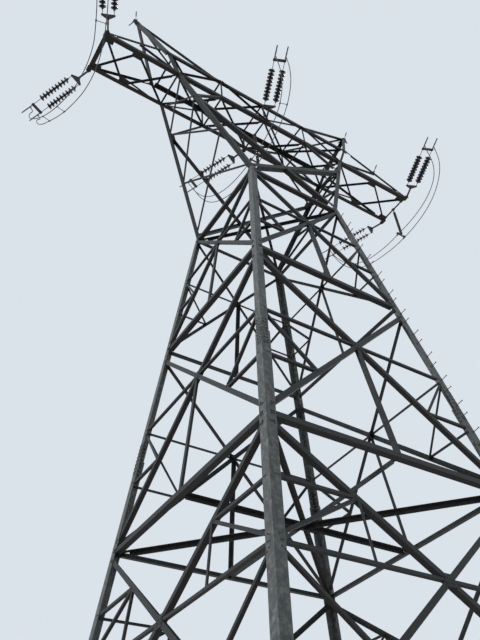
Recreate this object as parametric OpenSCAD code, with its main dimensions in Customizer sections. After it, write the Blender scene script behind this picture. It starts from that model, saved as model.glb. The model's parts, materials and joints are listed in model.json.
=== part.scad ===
// Lattice strain tower for a single overhead line circuit, millimetres, +Z up.
// The origin is on the ground, at the centre of the square of feet.
// X runs along the crossarm and Y along the line; the front face looks to -Y.

/* [Tower body] */
// Width between the outer corners of the legs at ground level
base_w = 9350; // [8800:50:10000]
// Width between the outer corners of the legs at the waist
waist_w = 3500; // [3200:50:3800]
// Height of the waist, where the body ends and the fork begins
waist_z = 20200; // [19600:50:20800]
// Height of the upper belt
belt1_z = 15250; // [14900:50:15500]
// Height of the lower belt
belt2_z = 9100; // [8700:50:9500]
// Height at which the lowest diagonals meet the legs
brace_foot_z = 3100; // [2700:50:3600]

/* [Crossarm] */
// Height of the bottom chords of the crossarm
arm_z = 25800; // [25300:50:26300]
// Depth of the bridge box, bottom chord to top chord
box_h = 1270; // [1100:10:1450]
// Width of the crossarm across the line
box_w = 1512; // [1400:4:1620]
// Distance from the centre to the fork legs at the bottom chord
arm_root_x = 3850; // [3700:10:4000]
// Distance from the centre to the fork legs at the top chord
top_root_x = 4320; // [4200:10:4450]
// Distance from the centre to the inner panel points
inner_x = 1970; // [1850:10:2100]
// Reach of the left arm
left_reach = 6800; // [6500:50:7200]
// Reach of the right arm
right_reach = 7500; // [7200:50:7900]
// Height of the peaks above the top chords
peak_rise = 2930; // [2700:10:3200]
// Distance from the centre to each peak
peak_x = 5450; // [5300:10:5600]

/* [Steel sections] */
// Flange width of the leg angles above the splice
leg_w = 200; // [180:5:220]
// Flange width of the leg angles below the splice
leg_low_w = 230; // [220:5:250]
// Thickness of the leg angles
leg_t = 16; // [14:1:20]
// Height of the leg splice
splice_z = 11600; // [11300:50:11900]
// Flange width of the fork leg angles
fork_w = 160; // [140:5:180]
// Flange width of the crossed diagonals of the fork
cross_w = 170; // [150:5:180]
// Flange width of the chord angles
chord_w = 150; // [130:5:160]
// Thickness of the chord and fork angles
chord_t = 12; // [10:1:14]
// Flange width of the outer legs of the peaks
peak_leg_w = 150; // [130:5:160]
// Flange width of the inner stays of the peaks
peak_stay_w = 90; // [80:5:100]
// Flange width of the ties over the arms
tie_w = 80; // [70:5:100]
// Flange width of the belts
belt_w = 140; // [120:5:150]
// Flange width of the main diagonals
main_w = 120; // [100:5:130]
// Flange width of the secondary bracing
light_w = 70; // [55:5:80]
// Thickness of the bracing angles
brace_t = 8; // [7:1:10]

/* [Feet] */
// Side of the square base plates
plate_w = 560; // [520:10:620]
// Thickness of the base plates
plate_t = 40; // [30:2:50]
// Distance between the anchor bolts of one foot
anchor_gap = 380; // [340:10:420]
// Diameter of the anchor bolt holes
anchor_d = 48; // [40:1:56]

/* [Insulators] */
// Number of discs in a string
discs = 9; // [7:1:10]
// Spacing of the discs along a string
disc_pitch = 146; // [140:1:150]
// Diameter of a disc
disc_d = 254; // [230:2:270]
// Distance between the two strings of a set, and between the twin conductors
twin_gap = 400; // [360:10:440]
// Angle of the front strings from square to the crossarm
front_turn = 23; // [20:1:28]
// Angle of the back strings from square to the crossarm
back_turn = 26; // [22:1:30]
// Slope of the front strings below the horizontal
front_sag = 2; // [0.5:0.5:5]
// Slope of the back strings below the horizontal
back_sag = 6.5; // [4:0.5:8]
// Diameter of the conductors
conductor_d = 30; // [26:1:32]
// Length of the post that holds the right jumper
jumper_post_l = 1840; // [1700:10:1840]
// Distance between the two cables of the right jumper at its post
jumper_gap = 360; // [340:10:380]

/* [Hidden] */

// Half sizes and slopes that the whole frame shares
base_h = base_w / 2;
waist_h = waist_w / 2;
box_y = box_w / 2;
body_lean = (base_h - waist_h) / waist_z;
fork_rise = arm_z - waist_z;
fork_lean = (waist_h - box_y) / fork_rise;
fork_spread = (arm_root_x - waist_h) / fork_rise;
top_z = arm_z + box_h;
peak_z = top_z + peak_rise;
far = 40000;
eps = 0.01;

// Gap left between the ends of a brace and the outer corner of a leg
leg_seat = leg_w / 2;
// Length over which the outstanding flange is cut back where a brace meets a leg
cope = 110;
// Rise from a belt to the ends of the diagonals above it
diagonal_rise = 200;
// Drops from the waist and the two belts to the ends of the diagonals below them
waist_drop = 240;
upper_drop = 430;
lower_drop = 200;
// Centre line of the belts of the waist
waist_belt_z = waist_z - 120;
hub_plate = 260;
// Step between the planes of bars that lap over plates or over each other
lap = 1;

// Bars that cross in one plane differ in thickness, and so do the two hands of a pair
strut_t = brace_t - 1;
stay_t = brace_t - 3;
post_t = brace_t + 2;
belt_t = brace_t + 3;
corner_t = brace_t + 5;

steel = "#6c706d";
steel_dark = "#4d524f";
porcelain = "#2e2420";
aluminium = "#8b8e8c";

function body_half(z) = base_h - body_lean * z;
function slope_len(h, lean) = h * sqrt(1 + lean * lean);
function mix(a, b, t) = a + (b - a) * t;
function hand_t(t, hand) = hand > 0 ? t : t + 1;

// Middle of a leg flange at a height, where the bracing ends
function seat_x(z) = body_half(z) - leg_seat;

// Height at which two crossing diagonals of a tapered panel meet
function hub_z(low, high) = mix(high, low, seat_x(high) / (seat_x(high) + seat_x(low)));

// Stands the local XY plane on one side of a square frustum: X along the side, Y up its slope, Z outwards
module on_face(side, depth, z, lean) {
    rotate([0, 0, 90 * side]) translate([0, -depth, z]) rotate([90 - atan(lean), 0, 0]) children();
}

// Angle bar lying in the XY plane from p to q, one flange flat at z = 0 and the other standing to -Z
module flat_bar(p, q, w, t, cut_p = 0, cut_q = 0, flip = 1) {
    run = norm(q - p);
    translate([p[0], p[1], 0]) rotate([0, 0, atan2(q[1] - p[1], q[0] - p[0])]) {
        translate([0, -w / 2, -t]) cube([run, w, t]);
        translate([cut_p, flip > 0 ? w / 2 - t : -w / 2, -w]) cube([run - cut_p - cut_q, t, w]);
    }
}

// Angle bar from p to q in space, heel on the line; out points away from the first flange
module space_bar(p, q, w, t, out, hand = 1) {
    along = (q - p) / norm(q - p);
    raw = out - (out * along) * along;
    outward = raw / norm(raw);
    across = cross(along, outward) * hand;
    multmatrix([
        [outward[0], across[0], along[0], p[0]],
        [outward[1], across[1], along[1], p[1]],
        [outward[2], across[2], along[2], p[2]],
        [0, 0, 0, 1]
    ])
    linear_extrude(norm(q - p))
    polygon([[0, 0], [-w, 0], [-w, t], [-t, t], [-t, w], [0, w]]);
}

module below(z) {
    difference() {
        children();
        translate([-far / 2, -far / 2, z]) cube([far, far, far]);
    }
}

module above(z) {
    difference() {
        children();
        translate([-far / 2, -far / 2, z - far]) cube([far, far, far]);
    }
}

// Point of a leg flange at a height, given by its distance from the outer corner
function flange_point(dir, z, inset) = [dir * (body_half(z) - inset), slope_len(z, body_lean)];

// One flange of a body leg, on the side of the face that dir names; it narrows at the splice
module leg_flange(side, dir, low, high) {
    edge = dir > 0 ? eps : 0;
    on_face(side, base_h, 0, body_lean)
    translate([0, 0, -leg_t])
    linear_extrude(leg_t)
    polygon([
        flange_point(dir, low, edge), flange_point(dir, low, leg_low_w),
        flange_point(dir, splice_z, leg_low_w), flange_point(dir, splice_z, leg_w),
        flange_point(dir, high, leg_w), flange_point(dir, high, edge)
    ]);
}

// Cover plate of the leg splice, let a little into its flange
module splice_plate(side, dir) {
    plate_l = 900;
    plate_t = 12;
    near = 20;
    width = leg_w - 50;
    low = splice_z - plate_l / 2;
    high = splice_z + plate_l / 2;
    on_face(side, base_h, 0, body_lean)
    translate([0, 0, -1])
    linear_extrude(plate_t + 1)
    polygon([
        flange_point(dir, low, near), flange_point(dir, low, near + width),
        flange_point(dir, high, near + width), flange_point(dir, high, near)
    ]);
}

foot_c = base_h - 90;

module base_plate() {
    translate([-foot_c, -foot_c, 0]) difference() {
        translate([-plate_w / 2, -plate_w / 2, 0]) cube([plate_w, plate_w, plate_t]);
        for (x = [-1, 1], y = [-1, 1])
            translate([x * anchor_gap / 2, y * anchor_gap / 2, -1])
            cylinder(h = plate_t + 2, d = anchor_d, $fn = 48);
    }
}

// Triangular rib between the base plate and one flange of the leg
module foot_rib(side, dir) {
    rib_h = 320;
    rib_l = 170;
    x = dir * (base_h - leg_low_w / 2);
    rotate([0, 0, 90 * side]) translate([x - 8, -base_h + 2, plate_t - 1]) rotate([90, 0, 90])
    linear_extrude(16)
    polygon([[-rib_l, 0], [body_lean * plate_t, 0], [body_lean * (plate_t + rib_h), rib_h], [-30, rib_h]]);
}

module leg(side) {
    color(steel) rotate([0, 0, 90 * side]) {
        below(waist_z) union() {
            for (f = [[0, -1], [3, 1]]) {
                leg_flange(f[0], f[1], plate_t - 15, waist_z + 50);
                splice_plate(f[0], f[1]);
                foot_rib(f[0], f[1]);
            }
        }
        base_plate();
    }
}

// Places a point of a body face given by its distance from the centre line and its height
function on_body(x, z) = [x, slope_len(z, body_lean)];

// Bracing of one body face; mirrored bars are drawn once and repeated
module face_bar(side, p, q, w, t, cut_p = 0, cut_q = 0) {
    for (m = [-1, 1])
        on_face(side, base_h, 0, body_lean) translate([0, 0, -leg_t])
        flat_bar(on_body(m * p[0], p[1]), on_body(m * q[0], q[1]), w, hand_t(t, m), cut_p, cut_q, m);
}

// Horizontal angle across a body face, from leg to leg, its inward flange at the bottom
module belt(side, z, w = belt_w, t = belt_t) {
    on_face(side, base_h, 0, body_lean) translate([0, 0, -leg_t])
    flat_bar(on_body(-seat_x(z), z), on_body(seat_x(z), z), w, t, cope, cope, -1);
}

module hub_gusset(side, z) {
    on_face(side, base_h, 0, body_lean)
    translate([-hub_plate / 2, slope_len(z, body_lean) - hub_plate / 2, -leg_t])
    cube([hub_plate, hub_plate, brace_t]);
}

// Crossed panel between two heights, with a strut at the crossing and stays to its lower legs
module crossed_panel(side, low, high, w) {
    hub = hub_z(low, high);
    stay_z = (hub + low) / 2;
    stay = [seat_x(low) / 2, stay_z];
    color(steel) union() {
        face_bar(side, [seat_x(high), high], [-seat_x(low), low], w, brace_t, cope, cope);
        belt(side, hub, light_w, strut_t);
        face_bar(side, [seat_x(hub), hub - light_w - 20], stay, light_w, stay_t, cope);
        face_bar(side, [seat_x(stay_z), stay_z], stay, light_w, stay_t + 1, cope);
        hub_gusset(side, hub);
        children();
    }
}

// Upright from the crossing of a panel down to the middle of its belt
module mid_post(side, hub, belt_z) {
    on_face(side, base_h, 0, body_lean) translate([0, 0, -leg_t])
    flat_bar(on_body(0, belt_z), on_body(0, hub), main_w - 20, post_t, belt_w / 2);
}

module bracing_high(side) {
    low = belt1_z + diagonal_rise;
    high = waist_z - waist_drop;
    crossed_panel(side, low, high, main_w - 20) {
        belt(side, belt1_z);
        mid_post(side, hub_z(low, high), belt1_z);
    }
}

module bracing_middle(side) {
    low = belt2_z + diagonal_rise;
    high = belt1_z - upper_drop;
    crossed_panel(side, low, high, main_w) {
        belt(side, belt2_z);
        mid_post(side, hub_z(low, high), belt2_z);
    }
}

module bracing_low(side) {
    low = brace_foot_z;
    high = belt2_z - lower_drop;
    hub = hub_z(low, high);
    upper_z = (hub + high) / 2;
    upper = [seat_x(high) / 2, upper_z];
    crossed_panel(side, low, high, main_w) {
        face_bar(side, [seat_x(upper_z), upper_z], upper, light_w, stay_t + 1, cope);
        face_bar(side, [seat_x(hub), hub + light_w + 20], upper, light_w, stay_t, cope);
        face_bar(side, [upper[0] + 40, hub], upper, light_w - 10, post_t);
    }
}

// Cuts a horizontal frame to the inner faces of the body bracing
module inside_body(inset) {
    difference() {
        children();
        for (side = [0:3])
            on_face(side, base_h, 0, body_lean)
            translate([-far / 2, -far / 2, -inset]) cube([far, far, far]);
    }
}

// Horizontal angle bar, flat flange on top at height z, the other cut back at both ends
module level_bar(p, q, z, w, t, cut = 0) {
    translate([0, 0, z]) flat_bar(p, q, w, t, cut, cut);
}

module lower_diaphragm() {
    z = belt2_z;
    r = body_half(z);
    corner = 420;
    clear = belt_w + leg_t + 40;
    color(steel) inside_body(leg_t + belt_t) union() {
        for (d = [-1, 1])
            level_bar(
                [-r + leg_seat, -d * (r - leg_seat)], [r - leg_seat, d * (r - leg_seat)],
                z, main_w, hand_t(brace_t, d), 1.5 * clear);
        level_bar([-r, 0], [r, 0], z, main_w, belt_t, clear);
        level_bar([0, -r], [0, r], z, main_w, hand_t(belt_t, -1), clear);
        for (side = [0:3])
            rotate([0, 0, 90 * side]) translate([-r, -r, z - corner_t])
            linear_extrude(corner_t) polygon([[0, 0], [corner, 0], [0, corner]]);
    }
}

module waist_frame() {
    r = body_half(waist_belt_z);
    corner = 380;
    color(steel) union() {
        for (side = [0:3]) belt(side, waist_belt_z);
        inside_body(leg_t) union() {
            for (d = [-1, 1])
                level_bar(
                    [-r + leg_seat, -d * (r - leg_seat)], [r - leg_seat, d * (r - leg_seat)],
                    waist_belt_z, main_w - 30, hand_t(brace_t, d), 2 * belt_w);
            for (side = [0:3])
                rotate([0, 0, 90 * side]) translate([-r + leg_t, -r + leg_t, waist_belt_z - corner_t])
                linear_extrude(corner_t) polygon([[0, 0], [corner, 0], [0, corner]]);
        }
    }
}

// Fork above the waist: front and back lean in, the two sides spread out
function fork_half(h) = waist_h + fork_spread * h;
function fork_depth(h) = waist_h - fork_lean * h;
fork_seat = fork_w / 2;
knee_h = fork_rise * 0.75;
side_h = fork_rise * 0.38;

module fork_front_face(side) {
    on_face(side, waist_h, waist_z, fork_lean) children();
}

module fork_side_face(side) {
    on_face(side, waist_h, waist_z, -fork_spread) children();
}

function on_fork_front(x, h) = [x, slope_len(h, fork_lean)];
function on_fork_side(y, h) = [y, slope_len(h, fork_spread)];

module fork_leg_flanges(side) {
    h0 = -120;
    h1 = fork_rise + 120;
    wf = fork_w * sqrt(1 + fork_spread * fork_spread);
    for (dir = [-1, 1])
        fork_side_face(side)
        translate([0, 0, -chord_t])
        linear_extrude(chord_t)
        polygon([
            [dir * fork_depth(h0), slope_len(h0, fork_spread)],
            [dir * (fork_depth(h0) - fork_w), slope_len(h0, fork_spread)],
            [dir * (fork_depth(h1) - fork_w), slope_len(h1, fork_spread)],
            [dir * fork_depth(h1), slope_len(h1, fork_spread)]
        ]);
    for (f = [0, 2])
        fork_front_face(f)
        translate([0, 0, -chord_t])
        linear_extrude(chord_t) {
            dir = (side == 3) == (f == 0) ? -1 : 1;
            polygon([
                [dir * (fork_half(h0) - eps), slope_len(h0, fork_lean)],
                [dir * (fork_half(h0) - wf), slope_len(h0, fork_lean)],
                [dir * (fork_half(h1) - wf), slope_len(h1, fork_lean)],
                [dir * (fork_half(h1) - eps), slope_len(h1, fork_lean)]
            ]);
        }
}

module fork_side(side) {
    levels = [150, side_h, knee_h, fork_rise - 150];
    color(steel) above(waist_z) below(arm_z) union() {
        fork_leg_flanges(side);
        for (i = [0:2], m = [-1, 1])
            fork_side_face(side) translate([0, 0, -chord_t])
            flat_bar(
                on_fork_side(-m * (fork_depth(levels[i]) - fork_seat), levels[i]),
                on_fork_side(m * (fork_depth(levels[i + 1]) - fork_seat), levels[i + 1]),
                light_w, hand_t(i == 1 ? post_t : brace_t, m), cope, cope, m);
    }
}

// Crossed diagonals of the fork, knee braces to the chord and the plates that join them
module fork_crossing(side) {
    color(steel) below(arm_z) union()
        for (m = [-1, 1])
            fork_front_face(side) translate([0, 0, -chord_t]) {
                flat_bar(
                    on_fork_front(m * (waist_h - fork_seat), 150),
                    on_fork_front(-m * (fork_half(knee_h) - fork_seat), knee_h),
                    cross_w, hand_t(brace_t, m), 2 * cope, 2 * cope, m);
                flat_bar(
                    on_fork_front(m * (fork_half(knee_h) - fork_seat), knee_h + 100),
                    on_fork_front(m * inner_x, fork_rise + 60),
                    main_w - 30, brace_t, 2 * cope, 0, m);
                translate([0, 0, -corner_t]) linear_extrude(corner_t) knee_plate(m);
            }
}

module knee_plate(m) {
    low = knee_h - 130;
    high = knee_h + 230;
    near = 30;
    width = 260;
    polygon([
        on_fork_front(m * (fork_half(low) - near), low),
        on_fork_front(m * (fork_half(low) - near - width), low),
        on_fork_front(m * (fork_half(high) - near - width), high),
        on_fork_front(m * (fork_half(high) - near), high)
    ]);
}

module bottom_chord(dir) {
    color(steel) union() {
        translate([-left_reach, 0, arm_z]) mirror([0, dir > 0 ? 1 : 0, 0]) translate([0, -box_y, 0]) {
            cube([left_reach + right_reach, chord_t, chord_w]);
            cube([left_reach + right_reach, chord_w, chord_t]);
        }
        for (x = phase_x) string_lug(x, dir);
    }
}

lug_y = box_y + 104;
lug_t = 20;
lug_hole_d = 26;

// Plate under a bottom chord that a strain set hangs from
module string_lug(x, dir) {
    translate([x, dir * lug_y, arm_z - lug_t]) difference() {
        union() {
            cylinder(h = lug_t, r = 55, $fn = 48);
            translate([-90, dir > 0 ? -230 : 0, 0]) cube([180, 230, lug_t]);
        }
        translate([0, 0, -1]) cylinder(h = lug_t + 2, d = lug_hole_d, $fn = 48);
    }
}

// Panel points of the crossarm floor, from the left tip to the right tip
outer_left_x = mix(arm_root_x, left_reach, 0.54);
outer_right_x = mix(arm_root_x, right_reach, 0.5);
floor_x = [
    -left_reach + 80, -outer_left_x, -arm_root_x, -inner_x, 0,
    inner_x, arm_root_x, outer_right_x, right_reach - 80
];

// Length of the plates at the joints of the arms
arm_plate = 400;

// Struts and crossed diagonals that lie on the bottom chords, with plates at the arm joints
module crossarm_floor() {
    reach = box_y - chord_t - 20;
    bar_y = reach - 40;
    z = arm_z + chord_t;
    last = len(floor_x) - 1;
    struts = [for (i = [0:last]) if (i != 1 && i != last - 1) i];
    color(steel) union() {
        for (i = struts) {
            w = i == 0 ? 2.4 * light_w : light_w;
            translate([floor_x[i] - w / 2, -reach, z]) cube([w, 2 * reach, brace_t]);
        }
        for (i = [0:last - 1], m = [-1, 1])
            translate([0, 0, z + lap + hand_t(stay_t, m)])
            flat_bar(
                [floor_x[i], -m * bar_y], [floor_x[i + 1], m * bar_y],
                light_w, hand_t(stay_t, m), 2 * cope, 2 * cope);
        for (i = [1, last - 1], s = [-1, 1])
            floor_plate(floor_x[i] - arm_plate / 2, s, reach, z);
        for (s = [-1, 1]) {
            floor_plate(floor_x[0] - 60, s, reach, z);
            floor_plate(floor_x[last] + 60 - arm_plate, s, reach, z);
        }
    }
}

// Plate on a bottom chord where the floor diagonals meet
module floor_plate(x, s, reach, z) {
    depth = 260;
    translate([x, s > 0 ? reach - depth : -reach, z]) cube([arm_plate, depth, corner_t]);
}

module bridge_truss(dir) {
    y = -box_y + chord_t;
    pts = [-inner_x, 0, inner_x];
    end = top_root_x - peak_leg_w - 30;
    color(steel) mirror([0, dir > 0 ? 1 : 0, 0]) union() {
        translate([-top_root_x - 60, -box_y, top_z - chord_w])
        cube([2 * (top_root_x + 60), chord_t, chord_w]);
        translate([-end, -box_y, top_z - chord_t]) cube([2 * end, chord_w, chord_t]);
        for (x = pts)
            translate([x - light_w / 2, y, arm_z + chord_t]) cube([light_w, post_t, box_h - 2 * chord_t]);
        for (m = [-1, 1]) {
            web_bar([m * (arm_root_x - 115), arm_z + 90], [m * inner_x, top_z - 60], y, hand_t(brace_t, m));
            web_bar([m * inner_x, top_z - 60], [0, arm_z + 90], y, hand_t(stay_t, m));
        }
    }
}

// Bracing angle in an upright plane along the crossarm
module web_bar(p, q, y, t) {
    translate([0, y + t, 0]) mirror([0, 1, 0]) rotate([90, 0, 0]) translate([0, 0, t])
    flat_bar(p, q, light_w, t);
}

module bridge_roof() {
    reach = box_y - 90;
    xs = [-top_root_x + 260, -inner_x, 0, inner_x, top_root_x - 260];
    z = top_z - chord_t;
    color(steel) union() {
        for (x = xs)
            translate([x - light_w / 2, -reach, z - brace_t]) cube([light_w, 2 * reach, brace_t]);
        for (i = [0:len(xs) - 2]) {
            hand = i % 2 == 0 ? -1 : 1;
            level_bar([xs[i], hand * reach], [xs[i + 1], -hand * reach], z, light_w, hand_t(stay_t, hand));
        }
    }
}

// Width of the short posts that carry the fork legs on to the top chords
root_post_w = 100;

module peak(dir) {
    apex = [dir * peak_x, 0, peak_z - 120];
    y0 = box_y - chord_t;
    color(steel) above(arm_z + chord_t) union() {
        for (s = [-1, 1]) {
            space_bar(
                [dir * arm_root_x, s * y0, arm_z], [dir * top_root_x, s * y0, top_z],
                root_post_w, brace_t, [0, s, 0], dir * s);
            space_bar(
                [dir * top_root_x, s * y0, top_z - 40], apex + [0, s * 20, 0],
                peak_leg_w, brace_t, [0, s, 0.3], dir * s);
        }
        above(top_z) for (s = [-1, 1])
            space_bar(
                [dir * inner_x, s * (y0 - 20), top_z - 40], apex + [-dir * 60, s * 20, -60],
                peak_stay_w, brace_t, [0, s, 0.3], dir * s);
        peak_plate(dir);
    }
}

// Plate at the top of a peak with the hole for the earth wire's fitting
module peak_plate(dir) {
    plate_h = 360;
    plate_d = 16;
    translate([dir * peak_x, plate_d / 2, peak_z - plate_h]) rotate([90, 0, 0]) difference() {
        linear_extrude(plate_d) polygon([[-140, 0], [140, 0], [70, plate_h], [-70, plate_h]]);
        translate([0, plate_h - 60, -1]) cylinder(h = plate_d + 2, d = 24, $fn = 48);
    }
}

// Sloping ties over an arm, each with a brace from its middle to the root of the bottom chord
module arm_ties(dir) {
    reach = dir < 0 ? left_reach : right_reach;
    tip = [dir * (reach - 60), arm_z + chord_w / 2];
    head = [dir * top_root_x, top_z - chord_w / 2];
    root = [dir * (arm_root_x + 120), arm_z + chord_w / 2];
    color(steel) for (s = [-1, 1])
        mirror([0, s > 0 ? 1 : 0, 0]) translate([0, -box_y, 0]) rotate([90, 0, 0]) {
            translate([0, 0, brace_t]) flat_bar(tip, head, tie_w, brace_t, 3 * chord_w, 2 * chord_w, -dir);
            translate([0, 0, stay_t + lap])
            flat_bar(mix(tip, head, 0.5), root, light_w, stay_t, tie_w, 2 * chord_w, dir);
        }
}

// Strain set: everything from the lug to the conductor clamps, along local X
yoke_near = 500;
yoke_d = 110;
yoke_t = 16;
yoke_edge = 50;
string_start = 760;
disc_run = discs * disc_pitch;
string_end = string_start + disc_run;
yoke_far = string_end + 330;
clamp_start = yoke_far + yoke_d - 15;
clamp_l = 520;
clamp_r = 24;
grip_l = 160;
grip_d = conductor_d + 1;
tail_r = 20;
tail_l = 150;
lug_in = 60;
phase_x = [-left_reach + lug_in, 0, right_reach - lug_in];

function disc_profile(i) = [
    for (p = [
        [0, 30], [20, 46], [64, 50], [72, 90], [84, disc_d / 2 - 6],
        [100, disc_d / 2], [108, disc_d / 2 - 10], [98, 70], [118, 40], [132, 22]
    ])
        [p[1], string_start + i * disc_pitch + p[0]]
];

module insulator_string() {
    pin_r = 14;
    start = [[0, string_start - 60], [pin_r, string_start - 60], [pin_r, string_start - 10]];
    points = [for (i = [0:discs - 1]) each disc_profile(i)];
    end = [[pin_r, string_end + 10], [pin_r, string_end + 70], [0, string_end + 70]];
    rotate([0, 90, 0])
    rotate_extrude($fn = 48)
    polygon(concat(start, points, end));
}

// Places the axis of a strain set: X runs from the lug towards the line
module strain_axis(x, dir) {
    turn = dir < 0 ? front_turn : back_turn;
    sag = dir < 0 ? front_sag : back_sag;
    translate([x, dir * lug_y, arm_z - lug_t / 2])
    rotate([0, 0, dir * (90 + turn)]) rotate([0, sag, 0]) children();
}

module near_yoke() {
    half = twin_gap / 2;
    link_z = lug_t / 2 + 5;
    link_w = 60;
    link_t = 10;
    for (z = [-link_z - link_t, link_z])
        translate([-link_w / 2, -link_w / 2, z]) cube([yoke_near + link_w / 2, link_w, link_t]);
    translate([yoke_near - 40, 0, -link_z - link_t - 8])
    cylinder(h = 2 * (link_z + link_t + 8), r = 12, $fn = 32);
    translate([yoke_near, 0, -yoke_t / 2]) linear_extrude(yoke_t)
    polygon([
        [-70, -yoke_edge], [yoke_edge, -half - yoke_edge], [yoke_d, -half - yoke_edge],
        [yoke_d, half + yoke_edge], [yoke_edge, half + yoke_edge], [-70, yoke_edge]
    ]);
}

// Pin that hangs a set from its lug, upright in the lug's hole
module lug_pin(x, dir) {
    pin_h = lug_t + 46;
    translate([x, dir * lug_y, arm_z - lug_t / 2 - pin_h / 2])
    cylinder(h = pin_h, d = lug_hole_d - 0.4, $fn = 48);
}

module far_yoke() {
    half = twin_gap / 2;
    translate([yoke_far, -half - yoke_edge, -yoke_t / 2]) cube([yoke_d, twin_gap + 2 * yoke_edge, yoke_t]);
}

// Compression clamp with an open mouth for the conductor
module dead_end_clamp() {
    translate([clamp_start, 0, 0]) rotate([0, 90, 0]) difference() {
        cylinder(h = clamp_l, r = clamp_r, $fn = 48);
        translate([0, 0, clamp_l - grip_l]) cylinder(h = grip_l + 1, d = grip_d, $fn = 48);
    }
}

module strain_set(phase, dir) {
    x = phase_x[phase];
    link = 24;
    union() {
        color(steel_dark) lug_pin(x, dir);
        strain_axis(x, dir) {
            color(steel_dark) near_yoke();
            color(steel_dark) far_yoke();
            for (s = [-1, 1]) translate([0, s * twin_gap / 2, 0]) {
                color(steel_dark) {
                    translate([yoke_near + yoke_d - 40, -link / 2, -link / 2])
                    cube([string_start - yoke_near - yoke_d - 10, link, link]);
                    translate([string_end + 60, -link / 2, -link / 2])
                    cube([yoke_far - string_end - 30, link, link]);
                }
                color(porcelain) insulator_string();
                color(aluminium) dead_end_clamp();
            }
        }
        color(aluminium) for (route = jumper_routes[phase]) {
            n = len(route);
            p = dir < 0 ? route[0] : route[n - 1];
            q = dir < 0 ? route[1] : route[n - 2];
            translate([x, 0, arm_z]) jumper_tail(p, q);
        }
    }
}

// Stub that joins a clamp to the end of its jumper, in line with the jumper's first stretch
module jumper_tail(p, q) {
    d = (p - q) / norm(p - q);
    translate(p) rotate([0, acos(d[2]), atan2(d[1], d[0])]) cylinder(h = tail_l, r = tail_r, $fn = 32);
}

// Jumper routes from front to back, measured from the lug line of the phase and the bottom chords
left_outer_route = [
    [-1140, -3165, -230], [-1090, -3140, -330], [-1110, -3095, -500], [-1150, -3010, -740],
    [-1140, -2880, -1000], [-1080, -2690, -1250], [-960, -2420, -1480], [-800, -2060, -1670],
    [-630, -1620, -1810], [-470, -1130, -1900], [-385, -580, -1950], [-365, 0, -1980],
    [-400, 580, -2000], [-510, 1130, -1990], [-640, 1610, -1950], [-780, 2020, -1880],
    [-930, 2360, -1780], [-1080, 2630, -1640], [-1210, 2820, -1460], [-1270, 2950, -1200],
    [-1260, 3030, -870], [-1205, 3065, -535], [-1255, 3085, -435]
];
left_inner_route = [
    [-775, -3320, -230], [-725, -3295, -330], [-745, -3245, -500], [-790, -3160, -740],
    [-810, -3020, -1000], [-760, -2810, -1250], [-625, -2520, -1480], [-470, -2140, -1670],
    [-315, -1680, -1810], [-175, -1170, -1900], [-70, -600, -1950], [-40, 0, -1980],
    [-80, 600, -2000], [-200, 1170, -1990], [-340, 1670, -1940], [-505, 2110, -1840],
    [-650, 2470, -1690], [-765, 2760, -1540], [-870, 2970, -1350], [-940, 3110, -1060],
    [-930, 3200, -760], [-845, 3240, -535], [-895, 3260, -435]
];
middle_outer_route = [
    [-1140, -3165, -230], [-1090, -3140, -330], [-1005, -3095, -500], [-905, -3010, -740],
    [-800, -2880, -1000], [-690, -2690, -1250], [-585, -2420, -1480], [-490, -2060, -1670],
    [-415, -1620, -1810], [-365, -1130, -1900], [-330, -580, -1950], [-320, 0, -1980],
    [-330, 580, -2000], [-375, 1130, -1990], [-445, 1610, -1940], [-540, 2020, -1840],
    [-645, 2360, -1690], [-760, 2630, -1490], [-890, 2820, -1240], [-1005, 2950, -980],
    [-1115, 3030, -730], [-1205, 3065, -535], [-1255, 3085, -435]
];
middle_inner_route = [
    [-775, -3320, -230], [-725, -3295, -330], [-660, -3245, -500], [-585, -3160, -740],
    [-500, -3020, -1000], [-415, -2810, -1250], [-325, -2520, -1480], [-235, -2140, -1670],
    [-150, -1680, -1810], [-80, -1170, -1900], [-40, -600, -1950], [-20, 0, -1980],
    [-30, 600, -2000], [-65, 1170, -1990], [-135, 1670, -1940], [-225, 2110, -1840],
    [-325, 2470, -1690], [-435, 2760, -1490], [-550, 2970, -1240], [-660, 3110, -980],
    [-760, 3200, -730], [-845, 3240, -535], [-895, 3260, -435]
];
right_outer_route = [
    [-1140, -3165, -230], [-1090, -3140, -330], [-960, -3095, -500], [-800, -3010, -730],
    [-665, -2880, -980], [-565, -2690, -1210], [-485, -2420, -1420], [-415, -2060, -1600],
    [-355, -1620, -1730], [-310, -1130, -1810], [-285, -580, -1850], [-280, 0, -1860],
    [-290, 580, -1880], [-345, 1130, -1880], [-415, 1610, -1840], [-510, 2020, -1760],
    [-620, 2360, -1620], [-745, 2630, -1430], [-875, 2820, -1200], [-1000, 2950, -950],
    [-1115, 3030, -715], [-1205, 3065, -535], [-1255, 3085, -435]
];
right_inner_route = [
    [-775, -3320, -230], [-725, -3295, -330], [-640, -3245, -500], [-555, -3160, -730],
    [-475, -3020, -980], [-390, -2810, -1210], [-295, -2520, -1420], [-190, -2140, -1600],
    [-90, -1680, -1730], [-10, -1170, -1810], [50, -600, -1850], [80, 0, -1860],
    [50, 600, -1880], [-30, 1170, -1880], [-110, 1670, -1840], [-205, 2110, -1760],
    [-310, 2470, -1620], [-420, 2760, -1430], [-545, 2970, -1200], [-660, 3110, -950],
    [-760, 3200, -715], [-845, 3240, -535], [-895, 3260, -435]
];
jumper_routes = [
    [left_outer_route, left_inner_route],
    [middle_outer_route, middle_inner_route],
    [right_outer_route, right_inner_route]
];

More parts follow.
